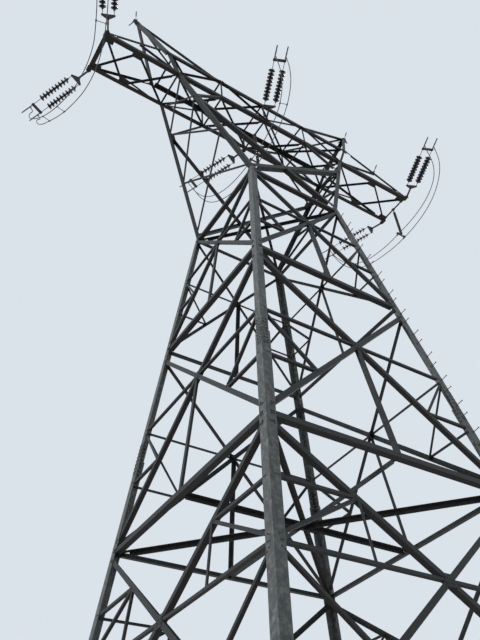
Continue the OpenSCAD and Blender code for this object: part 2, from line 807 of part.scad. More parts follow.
// Tube with flat ends swept along a route of points
module swept_tube(route, r) {
    n = len(route);
    sides = 8;
    ring = function(i)
        let (
            a = route[max(i - 1, 0)],
            b = route[min(i + 1, n - 1)],
            along = (b - a) / norm(b - a),
            side = cross(along, [0, 0, 1]) / norm(cross(along, [0, 0, 1])),
            up = cross(side, along)
        )
        [for (k = [0:sides - 1]) route[i] + r * (cos(360 * k / sides) * side + sin(360 * k / sides) * up)];
    points = [for (i = [0:n - 1]) each ring(i)];
    walls = [for (i = [0:n - 2], k = [0:sides - 1])
        [i * sides + k, (i + 1) * sides + k, (i + 1) * sides + (k + 1) % sides, i * sides + (k + 1) % sides]];
    caps = [[for (k = [0:sides - 1]) k], [for (k = [sides - 1:-1:0]) (n - 1) * sides + k]];
    polyhedron(points, concat(walls, caps));
}

module jumper(phase, which) {
    color(aluminium) translate([phase_x[phase], 0, arm_z])
    swept_tube(jumper_routes[phase][which], conductor_d / 2);
}

// Post under the right tip; its foot bar reaches further towards the tower than away from it
module jumper_post() {
    rod_r = 22;
    bar_shift = -60;
    seat_w = 120;
    seat_t = 16;
    bar_h = 60;
    shed_gap = 66;
    sheds = floor((jumper_post_l - 260) / shed_gap);
    translate([right_reach - 100, 0, arm_z - jumper_post_l]) union() {
        color(porcelain) translate([0, 0, bar_h - 10])
        cylinder(h = jumper_post_l - bar_h, r = rod_r, $fn = 32);
        color(porcelain) for (i = [0:sheds - 1])
            translate([0, 0, 150 + i * shed_gap]) cylinder(h = 22, r1 = 60, r2 = 40, $fn = 32);
        color(steel_dark)
        translate([-seat_w / 2, -seat_w / 2, jumper_post_l - seat_t])
        cube([seat_w, seat_w, seat_t + chord_t]);
        color(steel_dark)
        translate([bar_shift - jumper_gap / 2 - 30, -25, 0]) cube([jumper_gap + 60, 50, bar_h]);
    }
}

leg(0);  // leg_front_left
leg(1);  // leg_front_right
leg(2);  // leg_back_right
leg(3);  // leg_back_left
bracing_low(0);  // bracing_front_low
bracing_low(1);  // bracing_right_low
bracing_low(2);  // bracing_back_low
bracing_low(3);  // bracing_left_low
bracing_middle(0);  // bracing_front_middle
bracing_middle(1);  // bracing_right_middle
bracing_middle(2);  // bracing_back_middle
bracing_middle(3);  // bracing_left_middle
bracing_high(0);  // bracing_front_high
bracing_high(1);  // bracing_right_high
bracing_high(2);  // bracing_back_high
bracing_high(3);  // bracing_left_high
lower_diaphragm();
waist_frame();
fork_side(3);  // fork_side_left
fork_side(1);  // fork_side_right
fork_crossing(0);  // fork_crossing_front
fork_crossing(2);  // fork_crossing_back
bottom_chord(-1);  // bottom_chord_front
bottom_chord(1);  // bottom_chord_back
crossarm_floor();
bridge_truss(-1);  // bridge_truss_front
bridge_truss(1);  // bridge_truss_back
bridge_roof();
arm_ties(-1);  // arm_ties_left
arm_ties(1);  // arm_ties_right
peak(-1);  // peak_left
peak(1);  // peak_right
strain_set(0, -1);  // strain_set_left_front
strain_set(0, 1);  // strain_set_left_back
strain_set(1, -1);  // strain_set_middle_front
strain_set(1, 1);  // strain_set_middle_back
strain_set(2, -1);  // strain_set_right_front
strain_set(2, 1);  // strain_set_right_back
jumper(0, 0);  // jumper_left_outer
jumper(0, 1);  // jumper_left_inner
jumper(1, 0);  // jumper_middle_outer
jumper(1, 1);  // jumper_middle_inner
jumper(2, 0);  // jumper_right_outer
jumper(2, 1);  // jumper_right_inner
jumper_post();
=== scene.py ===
import json
import random
from functools import partial
from itertools import product
from math import atan, cos, pi, radians, sin, sqrt, tan

import bpy
import numpy as np
from mathutils import Matrix, Vector


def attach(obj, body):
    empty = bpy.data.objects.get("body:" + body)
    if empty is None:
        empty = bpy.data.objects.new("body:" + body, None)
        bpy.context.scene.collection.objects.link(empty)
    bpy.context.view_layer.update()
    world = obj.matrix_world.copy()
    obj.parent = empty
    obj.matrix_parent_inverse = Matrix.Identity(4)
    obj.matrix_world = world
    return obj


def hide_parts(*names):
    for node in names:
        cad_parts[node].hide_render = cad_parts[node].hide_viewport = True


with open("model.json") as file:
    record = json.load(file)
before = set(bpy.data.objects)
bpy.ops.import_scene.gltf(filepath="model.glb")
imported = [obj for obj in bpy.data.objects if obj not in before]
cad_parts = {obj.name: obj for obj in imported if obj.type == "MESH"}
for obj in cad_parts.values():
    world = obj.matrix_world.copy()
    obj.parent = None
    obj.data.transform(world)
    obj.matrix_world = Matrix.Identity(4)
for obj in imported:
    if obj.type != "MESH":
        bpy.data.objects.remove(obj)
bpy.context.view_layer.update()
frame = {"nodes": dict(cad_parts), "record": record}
cadNodes = frame["nodes"]
scene = bpy.context.scene
random.seed(30)
print("frame loaded,", len(cadNodes), "nodes")


def addObject(name, data):
    made = bpy.data.objects.new(name, data)
    scene.collection.objects.link(made)
    return made


# The photograph's view: from eye height, left of the front face, looking up
camera = {
    "eye": (-9.719, -11.685, 1.60),
    "yaw": 35.44,  # degrees to the right of +Y
    "pitch": 43.10,  # degrees above the horizon
    "roll": -4.38,
    "focalPixels": 690.5,
    "longSidePixels": 640,
    "sensor": 36.0,
}


def makeCamera(c):
    yaw, pitch, roll = (radians(c[k]) for k in ("yaw", "pitch", "roll"))
    forward = Vector((sin(yaw) * cos(pitch), cos(yaw) * cos(pitch), sin(pitch)))
    level = Vector((cos(yaw), -sin(yaw), 0))
    upright = level.cross(forward)
    right = level * cos(roll) + upright * sin(roll)
    up = upright * cos(roll) - level * sin(roll)
    data = bpy.data.cameras.new("camera")
    data.sensor_width = c["sensor"]
    data.lens = c["focalPixels"] / c["longSidePixels"] * c["sensor"]
    data.clip_end = 500
    eye = addObject("camera", data)
    eye.matrix_world = Matrix((right, up, -forward)).transposed().to_4x4()
    eye.location = c["eye"]
    scene.camera = eye


makeCamera(camera)
print("camera set")


def linear(code):  # sRGB hex to linear colour
    parts = [int(code[i:i + 2], 16) / 255 for i in (1, 3, 5)]
    return tuple(p / 12.92 if p <= 0.04045 else ((p + 0.055) / 1.055) ** 2.4 for p in parts) + (1.0,)


# Adds a node with its inputs, settings and ramp stops; a node given as an input links its first output
def addNode(tree, kind, inputs=None, settings=None, stops=None):
    node = tree.nodes.new("ShaderNode" + kind)
    for name, value in (settings or {}).items():
        setattr(node, name, value)
    for name, value in (inputs or {}).items():
        if isinstance(value, bpy.types.Node):
            value = value.outputs[0]
        if isinstance(value, bpy.types.NodeSocket):
            tree.links.new(value, node.inputs[name])
        else:
            node.inputs[name].default_value = value
    if stops:
        ramp = node.color_ramp
        while len(ramp.elements) < len(stops):
            ramp.elements.new(0.5)
        for element, (place, code) in zip(ramp.elements, stops):
            element.position = place
            element.color = linear(code)
    return node


def startNodes(owner):  # gives addNode for the owner's own tree
    owner.use_nodes = True
    owner.node_tree.nodes.clear()
    return partial(addNode, owner.node_tree)


def startMaterial(name):
    material = bpy.data.materials.new(name)
    return material, startNodes(material)


def endMaterial(material, inputs):
    shader = addNode(material.node_tree, "BsdfPrincipled", inputs)
    addNode(material.node_tree, "OutputMaterial", {"Surface": shader})
    return material


inColour = {"data_type": "RGBA"}

# Hot-dip galvanised angle steel, weathered for decades: the zinc is dull and mottled, dirt has run down it,
# dust and algae lie on what faces up, what faces down carries a brown bloom, where no rain washes it, and
# painted shade that darkens it, and there is thin rust here and there.
galvanised = {
    "patina": 0.11,  # metres, a patch of duller zinc
    "spangle": 0.045,  # the real one is 10 to 15 mm, drawn coarser so that it shows
    "streakWidth": 0.05, "streakLength": 0.8,
    "bloom": 0.45,
    "bumpDepth": 0.0015,
}


def galvanisedSteel(name, dark, middle, pale, bloomAndShadeBelow, rust, rustShare):
    g = galvanised
    material, add = startMaterial(name)
    place = add("TexCoord").outputs["Object"]
    patina = add("TexNoise", {"Vector": place, "Scale": 1 / g["patina"], "Detail": 6.0, "Roughness": 0.62})
    tone = add("ValToRGB", {"Fac": patina}, stops=[(0.30, dark), (0.52, middle), (0.74, pale)])
    spangle = add("TexVoronoi", {"Vector": place, "Scale": 1 / g["spangle"]})
    grey = add("RGBToBW", {"Color": spangle.outputs["Color"]})
    shade = add("MapRange", {"Value": grey, "To Min": 0.84, "To Max": 1.12})
    colour = add("VectorMath", {0: tone, "Scale": shade}, {"operation": "SCALE"}).outputs[0]
    downhill = (1 / g["streakWidth"], 1 / g["streakWidth"], 1 / g["streakLength"])
    stretched = add("Mapping", {"Vector": place, "Scale": downhill})
    runs = add("TexNoise", {"Vector": stretched, "Scale": 1.0, "Detail": 4.0})
    blooms = add("TexNoise", {"Vector": place, "Scale": 1 / g["bloom"], "Detail": 8.0, "Roughness": 0.7})
    facing = add("SeparateXYZ", {0: add("NewGeometry").outputs["Normal"]}).outputs["Z"]
    layers = [
        (runs, 0.50, 0.72, 0.55, "#2f2e29"),  # dirt that has run down
        (facing, 0.55, 0.95, 0.35, "#4b4c3b"),  # dust and algae on top
        # Faces that look down are mixed towards a darker brown: a real bloom, and painted shade as well
        (facing, -0.25, -0.85, 0.75, bloomAndShadeBelow),  # brown bloom and painted shade below
        (blooms, 0.56, 0.74, rustShare, rust),
    ]
    for value, clean, full, share, code in layers:
        amount = add("MapRange", {"Value": value, "From Min": clean, "From Max": full, "To Max": share})
        colour = add("Mix", {"Factor": amount, 6: colour, 7: linear(code)}, inColour).outputs[2]
    rough = add("MapRange", {"Value": patina, "From Min": 0.3, "From Max": 0.7, "To Min": 0.48,
                             "To Max": 0.70})
    bump = add("Bump", {"Height": patina, "Distance": g["bumpDepth"], "Strength": 0.6})
    return endMaterial(material, {"Base Color": colour, "Roughness": rough, "Normal": bump, "Metallic": 0.45})


# Electrical porcelain under a coloured glaze, fired glossy, with dust dulling the upper side; the glaze
# pools in patches about 45 mm across, 22 to the metre
def glazedPorcelain(name, deep, warm, dust):
    material, add = startMaterial(name)
    place = add("TexCoord").outputs["Object"]
    pooling = add("TexNoise", {"Vector": place, "Scale": 22.0, "Detail": 3.0})
    glaze = add("ValToRGB", {"Fac": pooling}, stops=[(0.35, deep), (0.70, warm)])
    facing = add("SeparateXYZ", {0: add("NewGeometry").outputs["Normal"]}).outputs["Z"]
    upward = add("MapRange", {"Value": facing, "From Min": 0.1, "From Max": 0.9, "To Max": 0.30})
    colour = add("Mix", {"Factor": upward, 6: glaze, 7: linear(dust)}, inColour).outputs[2]
    rough = add("MapRange", {"Value": upward, "From Max": 0.3, "To Min": 0.14, "To Max": 0.3})
    return endMaterial(material, {"Base Color": colour, "Roughness": rough, "IOR": 1.55,
                                  "Coat Weight": 0.6, "Coat Roughness": 0.08})


# Small metal parts: forged or cast iron dipped in zinc, and pressed aluminium. They are rounder and
# smoother than the angles, with a fine scale from the forge or the press.
def castMetal(name, dark, pale, roughness, metallic, grain=0.030):
    material, add = startMaterial(name)
    place = add("TexCoord").outputs["Object"]
    scale = add("TexNoise", {"Vector": place, "Scale": 1 / grain, "Detail": 5.0})
    colour = add("ValToRGB", {"Fac": scale}, stops=[(0.35, dark), (0.65, pale)])
    bump = add("Bump", {"Height": scale, "Distance": 0.0008, "Strength": 0.5})
    return endMaterial(material, {"Base Color": colour, "Roughness": roughness, "Metallic": metallic,
                                  "Normal": bump})


# Stranded aluminium conductor: 20 drawn wires of 4 mm round a 30 mm cable, turning once in 330 mm,
# gone matt grey outdoors, with dirt in the grooves between them. U runs round the cable, V along it.
strands = {"wires": 20, "lay": 0.33, "depth": 0.0048, "patch": 0.07}


def strandedAluminium(name, dark, pale, groove):
    s = strands
    material, add = startMaterial(name)
    place = add("TexCoord").outputs["Object"]
    oxide = add("TexNoise", {"Vector": place, "Scale": 1 / s["patch"], "Detail": 5.0})
    tone = add("ValToRGB", {"Fac": oxide}, stops=[(0.35, dark), (0.70, pale)])
    along = add("UVMap", settings={"uv_map": "along"})
    twist = (s["wires"], s["wires"] / s["lay"], 0)
    turns = add("VectorMath", {0: along, 1: twist}, {"operation": "DOT_PRODUCT"})
    wire = add("Math", {0: turns.outputs["Value"]}, {"operation": "FRACT"})
    fromMiddle = add("Math", {0: wire, 1: 0.5}, {"operation": "SUBTRACT"})
    fall = add("Math", {0: fromMiddle, 1: fromMiddle}, {"operation": "MULTIPLY"})
    dirt = add("MapRange", {"Value": fall, "From Min": 0.12, "From Max": 0.25, "To Max": 0.75})
    colour = add("Mix", {"Factor": dirt, 6: tone, 7: linear(groove)}, inColour).outputs[2]
    bump = add("Bump", {"Height": fall, "Distance": s["depth"], "Strength": 1.0}, {"invert": True})
    return endMaterial(material, {"Base Color": colour, "Roughness": 0.52, "Metallic": 0.75, "Normal": bump})


legSteel = galvanisedSteel("galvanised leg angles", "#404445", "#565a5a", "#7e7e78", "#332d28",
                           "#5c4838", 0.25)
# The bracing is the same galvanised steel as the legs; its colours are painted far darker, as painted shade
braceSteelInPaintedShade = galvanisedSteel("galvanised bracing angles in painted shade", "#191c1d", "#262a2a", "#3f433f", "#231f1b",
                             "#3d3128", 0.35)
boltSteel = castMetal("spun galvanised bolts", "#30312c", "#53544d", 0.5, 0.6, 0.012)
ironWork = castMetal("galvanised forged fittings", "#343532", "#555650", 0.46, 0.7)
clampAluminium = castMetal("pressed aluminium clamps", "#505354", "#757879", 0.45, 0.8)
brownPorcelain = glazedPorcelain("brown glazed porcelain", "#120d0a", "#281811", "#322c26")
postPorcelain = glazedPorcelain("grey brown glazed post", "#4a4236", "#5f5543", "#666052")
cableAluminium = strandedAluminium("weathered stranded aluminium", "#45484a", "#6a6e70", "#222425")
print("materials made")

rootBody = "root"
dressing = {
    "galvanised_legs": legSteel,
    "galvanised_steel": braceSteelInPaintedShade,
    "strain_hardware": ironWork,
    "post_insulator": postPorcelain,
    "aluminium_conductor": cableAluminium,
}
for part in frame["record"]["subparts"]:
    solid = cadNodes[part["node"]]
    finish = dressing[part["material_slot"]]
    if not solid.material_slots:
        solid.data.materials.append(finish)
    for held in solid.material_slots:
        held.material = finish
print("solids dressed")

# Driving sizes of the frame in metres, as the solids have them
tower = {
    "baseWidth": 9.35, "waistWidth": 3.50,
    "waistZ": 20.20, "belt1Z": 15.25, "belt2Z": 9.10, "braceFootZ": 3.10,
    "diagonalRise": 0.20, "waistDrop": 0.24, "upperDrop": 0.43, "lowerDrop": 0.20, "waistBeltDrop": 0.12,
    "armZ": 25.80, "boxHeight": 1.27, "boxWidth": 1.512,
    "armRootX": 3.85, "topRootX": 4.32, "innerX": 1.97,
    "leftReach": 6.80, "rightReach": 7.50, "tipBar": 0.080,
    "outerLeft": 0.54, "outerRight": 0.50,  # bars across the arms, as shares of the arm's length
    "knee": 0.75, "sideStrut": 0.38,  # as shares of the fork's height
    "peakRise": 2.93, "peakX": 5.45,
    "legFlange": 0.200, "legThick": 0.016, "spliceZ": 11.60, "splicePlate": 0.012,
    "forkFlange": 0.160, "chordThick": 0.012,
    "braceThick": 0.008, "beltThick": 0.011, "cornerThick": 0.013, "lightFlange": 0.070,
    "plateThick": 0.040, "anchorGap": 0.380, "footInset": 0.090,
}
baseHalf = tower["baseWidth"] / 2
waistHalf = tower["waistWidth"] / 2
boxHalf = tower["boxWidth"] / 2
bodyLean = (baseHalf - waistHalf) / tower["waistZ"]
armZ = tower["armZ"]
forkRise = armZ - tower["waistZ"]
forkLean = (waistHalf - boxHalf) / forkRise
forkSpread = (tower["armRootX"] - waistHalf) / forkRise
topZ = armZ + tower["boxHeight"]
peakZ = topZ + tower["peakRise"]
legSeat = tower["legFlange"] / 2
forkSeat = tower["forkFlange"] / 2
kneeHeight = forkRise * tower["knee"]
sideHeight = forkRise * tower["sideStrut"]
chordGrip = tower["chordThick"] + tower["braceThick"]


def bodyHalf(z):
    return baseHalf - bodyLean * z


def seatX(z):
    return bodyHalf(z) - legSeat


def hubZ(low, high):
    share = seatX(high) / (seatX(high) + seatX(low))
    return high + (low - high) * share


# A face of the tower: X to the right, Y up its slope and Z out of it; side 0 is the front
def faceFrame(side, depth, z, lean):
    tilt = atan(lean)
    axes = Matrix(((1, 0, 0, 0), (0, sin(tilt), -cos(tilt), -depth),
                   (0, cos(tilt), sin(tilt), z), (0, 0, 0, 1)))
    return Matrix.Rotation(radians(90 * side), 4, "Z") @ axes


def slope(height, lean):
    return height * sqrt(1 + lean * lean)


# Shapes are pairs of an array of corners and a list of faces. Most are rings of corners one above the other,
# joined by walls and closed at both ends.
def skin(rings):
    count = len(rings[0])
    last = (len(rings) - 1) * count
    walls = [(i + k, i + (k + 1) % count, i + count + (k + 1) % count, i + count + k)
             for i in range(0, last, count) for k in range(count)]
    ends = [tuple(range(count))[::-1], tuple(range(last, last + count))]
    return np.array([corner for ring in rings for corner in ring], float), walls + ends


def regular(sides, radius, turn=0.0):
    turns = [turn + 2 * pi * i / sides for i in range(sides)]
    return [(radius * cos(t), radius * sin(t)) for t in turns]


def rectangle(x0, y0, x1, y1):
    return [(x0, y0), (x1, y0), (x1, y1), (x0, y1)]


def prism(outline, low, high):
    return skin([[(x, y, z) for x, y in outline] for z in (low, high)])


def lathe(profile, segments):
    return skin([[(r * x, r * y, z) for x, y in regular(segments, 1.0)] for r, z in profile])


def tube(points, radius, sides):  # round rod along a line of points
    last = len(points) - 1
    ways = [(points[min(i + 1, last)] - points[max(i - 1, 0)]).normalized() for i in range(last + 1)]
    across = ways[0].orthogonal().normalized()
    rings = []
    for p, way in zip(points, ways):
        across = (across - way * across.dot(way)).normalized()
        upright = way.cross(across)
        rings.append([tuple(p + (across * x + upright * y) * radius) for x, y in regular(sides, 1.0)])
    return skin(rings)


def moved(shape, matrix):
    corners, faces = shape
    m = np.array(matrix)
    return corners @ m[:3, :3].T + m[:3, 3], faces


def joined(shapes):
    corners, faces, start = [], [], 0
    for points, loops in shapes:
        corners.append(points)
        faces += [tuple(start + k for k in loop) for loop in loops]
        start += len(points)
    return np.concatenate(corners), faces


def makeMesh(name, corners, faces, material, smoothAngle=None):
    mesh = bpy.data.meshes.new(name)
    mesh.from_pydata(corners.tolist(), [], faces)
    mesh.materials.append(material)
    if smoothAngle:
        mesh.shade_smooth()
        mesh.set_sharp_from_angle(angle=radians(smoothAngle))
    return mesh


def addPiece(name, shapes, material, smoothAngle=None):
    corners, faces = joined(shapes)
    piece = addObject(name, makeMesh(name, corners, faces, material, smoothAngle))
    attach(piece, rootBody)
    print("made", name, sum(len(f) - 2 for f in faces), "triangles")
    return piece


def at(x, y, z):
    return Matrix.Translation((x, y, z))


# Hexagon bolts, drawn along Z with the head's bearing face at 0 and the nut at -grip
bolts = {
    "headAcross": 0.036, "headHeight": 0.015,
    "washer": 0.044, "washerThick": 0.004,
    "nutHeight": 0.019, "thread": 0.024, "stub": 0.012,
}
light = 0.72  # size of the bolts in the light bars, against those in the heavy ones


def hexBolt(grip, size=1.0):
    b = {k: v * size for k, v in bolts.items()}
    corner = b["headAcross"] / sqrt(3)
    washer = b["washerThick"]
    nut = -grip - washer - b["nutHeight"]
    return joined([
        prism(regular(6, corner), 0, b["headHeight"]),
        prism(regular(10, b["washer"] / 2), -grip - washer, -grip),
        prism(regular(6, corner, 0.3), nut, -grip - washer),
        prism(regular(8, b["thread"] / 2), nut - b["stub"], nut),
    ])


def boltAt(face, x, y, outer, grip, size=1.0):
    spot = face @ at(x, y, outer) @ Matrix.Rotation(random.uniform(0, 1), 4, "Z")
    return moved(hexBolt(grip, size), spot)


def boltUnder(x, y, z, grip, size=1.0):  # head below, nut above
    spot = at(x, y, z) @ Matrix.Rotation(pi, 4, "X")
    return boltAt(spot, 0, 0, 0, grip, size)


# Bolts in a row from p towards q; with a stagger they stand to either side of the row by turns
def boltsAlong(face, p, q, outer, grip, offsets, size=1.0, stagger=0.0):
    start = Vector(p)
    run = (Vector(q) - start).normalized()
    aside = Vector((-run.y, run.x)) * stagger
    made = []
    for i, offset in enumerate(offsets):
        spot = start + run * offset + (aside if i % 2 else -aside)
        made.append(boltAt(face, spot.x, spot.y, outer, grip, size))
    return made


def boltsAtEnds(face, p, q, *row):  # the same row from both ends of a bar
    return boltsAlong(face, p, q, *row) + boltsAlong(face, q, p, *row)


# Body bracing: bars end behind the leg flanges, bolts stand with their heads outside. From here on m is -1
# for the left of a face and 1 for its right. A row is grip, places along the bar in metres, size, stagger.
bodyRows = {
    "inset": 0.026, "edge": 0.022,  # across the leg's flange: first bolt from its middle, last from its edge
    "leastSlope": 0.35, "stagger": 0.020, "beltStagger": 0.030,
    "hub": (-0.105, -0.055, 0.055, 0.105), "hubSide": 0.100, "hubGrip": 0.017,
    "stay": (tower["braceThick"] * 2, (0.045, 0.110), light), "stayGap": tower["lightFlange"] + 0.020,
    "foot": (0.024, (-0.035, 0.035), light), "crown": (0.020, (0.065, 0.110), light),
}


def legOffsets(p, q, count):
    across = max(abs((Vector(q) - Vector(p)).normalized().x), bodyRows["leastSlope"])
    low, high = bodyRows["inset"], legSeat - bodyRows["edge"]
    return [(low + (high - low) * i / (count - 1)) / across for i in range(count)]


def bodyBolts(side):
    t, rows, gap = tower, bodyRows, bodyRows["stayGap"]
    face = faceFrame(side, baseHalf, 0, bodyLean)
    inside, behind = -t["legThick"], -t["legThick"] + t["braceThick"]
    grip = t["legThick"] + t["braceThick"]
    made = []

    def spot(x, z):
        return (x, slope(z, bodyLean))

    def atLeg(m, z):
        return spot(m * seatX(z), z)

    def slim(a, b):
        made.extend(boltsAlong(face, a, b, 0, grip, legOffsets(a, b, 2), light))

    def stay(leg, end):
        slim(leg, end)
        made.extend(boltsAlong(face, end, leg, inside, *rows["stay"]))

    panels = [
        (t["belt1Z"] + t["diagonalRise"], t["waistZ"] - t["waistDrop"], t["belt1Z"]),
        (t["belt2Z"] + t["diagonalRise"], t["belt1Z"] - t["upperDrop"], t["belt2Z"]),
        (t["braceFootZ"], t["belt2Z"] - t["lowerDrop"], None),
    ]
    for low, high, beltZ in panels:
        hub = hubZ(low, high)
        middle = spot(0, hub)
        for m in (-1, 1):
            top, bottom = atLeg(m, high), atLeg(-m, low)
            made += boltsAtEnds(face, top, bottom, 0, grip, legOffsets(top, bottom, 3), 1.0, rows["stagger"])
            slim(atLeg(m, hub), middle)
            run = (Vector(top) - Vector(bottom)).normalized()
            places = [Vector(middle) + run * offset for offset in rows["hub"]]
            places.append((m * rows["hubSide"], middle[1]))
            made += [boltAt(face, *place, behind, rows["hubGrip"], light) for place in places]
            lowerZ, upperZ = (hub + low) / 2, (hub + high) / 2
            lower = spot(m * seatX(low) / 2, lowerZ)
            stay(spot(m * seatX(hub), hub - gap), lower)
            stay(atLeg(m, lowerZ), lower)
            if beltZ is None:
                upper = spot(m * seatX(high) / 2, upperZ)
                stay(atLeg(m, upperZ), upper)
                stay(spot(m * seatX(hub), hub + gap), upper)
        if beltZ is not None:
            foot = spot(0, beltZ)
            made += boltsAlong(face, foot, middle, inside, *rows["foot"])
            made += boltsAlong(face, middle, foot, behind, *rows["crown"])
    level = legOffsets((0, 0), (1, 0), 2)
    for z in (t["belt1Z"], t["belt2Z"], t["waistZ"] - t["waistBeltDrop"]):
        for m, hand in product((-1, 1), (1, -1)):
            stagger = hand * rows["beltStagger"]
            made += boltsAlong(face, atLeg(m, z), spot(0, z), 0, grip, level, 1.0, stagger)
    return made


# Splice of each leg: two lines of bolts through each cover plate
splice = {"rows": 8, "spacing": 0.110, "insets": (0.058, 0.132)}


def spliceBolts(side):
    s, t = splice, tower
    face = faceFrame(side, baseHalf, 0, bodyLean)
    made = []
    for m, row in product((-1, 1), range(s["rows"])):
        z = t["spliceZ"] + s["spacing"] * (row - (s["rows"] - 1) / 2)
        made += [boltAt(face, m * (bodyHalf(z) - inset), slope(z, bodyLean), t["splicePlate"],
                        t["splicePlate"] + t["legThick"]) for inset in s["insets"]]
    return made


# Level frames inside the body: bolts through their corner plates and where their bars cross
levels = {
    "edge": 0.062, "steps": (0.110, 0.180), "size": 0.8,
    "low": (tower["belt2Z"], 0.150, ((0, 0), (0.030, 0.030), (-0.030, -0.030))),
    "high": (tower["waistZ"] - tower["waistBeltDrop"], 0.130, ((0, 0),)),
}


def levelBolts(z, corner, cross):
    thick, size = tower["cornerThick"], levels["size"]
    grip = thick + tower["braceThick"]
    reach, edge = bodyHalf(z) - corner, bodyHalf(z) - levels["edge"]
    made = []
    for fx, fy in product((-1, 1), repeat=2):
        made.append(boltUnder(fx * reach, fy * reach, z - thick, grip))
        for step in levels["steps"]:
            made.append(boltUnder(fx * (reach - step), fy * edge, z - thick, grip, size))
            made.append(boltUnder(fx * edge, fy * (reach - step), z - thick, grip, size))
    return made + [boltUnder(x, y, z - tower["beltThick"], grip) for x, y in cross]


addPiece("bodyBolts", [s for side in range(4) for s in bodyBolts(side)], boltSteel)
addPiece("spliceBolts", [s for side in range(4) for s in spliceBolts(side)], boltSteel)
addPiece("levelBolts", levelBolts(*levels["low"]) + levelBolts(*levels["high"]), boltSteel)

# Fork: crossed diagonals, knee braces and the plates behind the knees
fork = {
    "foot": 0.15,  # height of the diagonals' feet above the waist
    "braceRise": 0.10, "braceTop": 0.06,
    "diagonal": (chordGrip, (0.03, 0.075, 0.12), 1.0, 0.035), "plate": (0.022, (0.18, 0.24), 1.0, 0.035),
    "brace": (chordGrip, (0.03, 0.09), light), "braceFoot": (0.022, (0.16, 0.22), light),
    "braceHead": (0.022, (0.12, 0.18), light), "lacing": (chordGrip, (0.03, 0.08), light),
    "kneeBolts": 5, "kneeStart": 0.09, "kneeSpacing": 0.07, "kneeInset": 0.045, "kneeGrip": 0.025,
    "hub": ((0, 0), (0.05, 0.0), (-0.05, 0.0), (0, 0.05), (0, -0.05)), "hubGrip": 0.018,
}


def forkBolts():
    f, t, inside = fork, tower, -tower["chordThick"]
    waistX, kneeX = waistHalf - forkSeat, waistHalf + forkSpread * kneeHeight - forkSeat
    made = []
    for side in (0, 2):
        face = faceFrame(side, waistHalf, t["waistZ"], forkLean)
        for m in (-1, 1):
            p, q = (m * waistX, slope(f["foot"], forkLean)), (-m * kneeX, slope(kneeHeight, forkLean))
            a = (m * kneeX, slope(kneeHeight + f["braceRise"], forkLean))
            b = (m * t["innerX"], slope(forkRise + f["braceTop"], forkLean))
            made += boltsAtEnds(face, p, q, 0, *f["diagonal"]) + boltsAlong(face, q, p, inside, *f["plate"])
            made += boltsAlong(face, a, b, 0, *f["brace"]) + boltsAlong(face, a, b, inside, *f["braceFoot"])
            made += boltsAlong(face, b, a, inside, *f["braceHead"])
            for row in range(f["kneeBolts"]):
                height = kneeHeight - f["kneeStart"] + f["kneeSpacing"] * row
                x = m * (waistHalf + forkSpread * height - f["kneeInset"])
                made.append(boltAt(face, x, slope(height, forkLean), 0, f["kneeGrip"], light))
        crossing = f["foot"] + (kneeHeight - f["foot"]) * waistX / (waistX + kneeX)
        made += [boltAt(face, x, slope(crossing, forkLean) + y, inside, f["hubGrip"]) for x, y in f["hub"]]
    heights = (f["foot"], sideHeight, kneeHeight, forkRise - f["foot"])
    for side in (1, 3):
        face = faceFrame(side, waistHalf, t["waistZ"], -forkSpread)
        for low, high in zip(heights, heights[1:]):
            for m in (-1, 1):
                p = (-m * (waistX - forkLean * low), slope(low, forkSpread))
                q = (m * (waistX - forkLean * high), slope(high, forkSpread))
                made += boltsAtEnds(face, p, q, 0, *f["lacing"])
    return made


addPiece("forkBolts", forkBolts(), boltSteel)

# Crossarm floor: its bars are bolted down on the bottom chords, heads below, with more bolts through the
# plates at the arm tips and at the bars next to them. Bolts stand at x from a bar and y from the middle.
rootX, innerX, tipBar = tower["armRootX"], tower["innerX"], tower["tipBar"]
outerLeftX = rootX + (tower["leftReach"] - rootX) * tower["outerLeft"]
outerRightX = rootX + (tower["rightReach"] - rootX) * tower["outerRight"]
floorX = (tipBar - tower["leftReach"], -outerLeftX, -rootX, -innerX, 0,
          innerX, rootX, outerRightX, tower["rightReach"] - tipBar)
floorRows = {
    "bar": ((0, 0.640), (0, 0.700), (-0.095, 0.640), (0.095, 0.640)),
    "plate": tuple(product((-0.150, -0.075, 0.075, 0.150), (0.640, 0.695))),
    "plateThick": 0.005, "tipInset": 0.14,
}


def floorBolts():
    rows, last, made = floorRows, len(floorX) - 1, []
    for s in (-1, 1):
        for i, x in enumerate(floorX):
            plated = i in (0, 1, last - 1, last)
            grip = chordGrip + rows["plateThick"] * plated
            middle = x + {0: rows["tipInset"], last: -rows["tipInset"]}.get(i, 0)
            for dx, y in rows["plate" if plated else "bar"]:
                made.append(boltUnder(middle + dx, s * y, armZ, grip, light))
    return made


# Bridge and arm ties: heads outside, on the upright flanges of the chords. Heights are metres up from the
# bottom chords or down from the top.
bridgeRows = {
    "upright": (0.045, 0.105), "footRise": 0.09, "headDrop": 0.06, "rootInset": 0.115,
    "tipInset": 0.060, "restOut": 0.120, "tieZ": 0.075,
    "crownX": (-0.12, -0.04, 0.03), "crownZ": (0.115, 0.045),
    "rootX": (-0.10, -0.03, 0.04), "rootZ": (0.045, 0.110),
    "diagonal": (chordGrip, (0.055, 0.110), light), "tie": (chordGrip, (0.035, 0.085, 0.135), 0.8),
    "strut": (0.014, (-0.015, 0.040), light), "strutFoot": (chordGrip, (0.035, 0.085), light),
    "strutThick": 0.006,
}


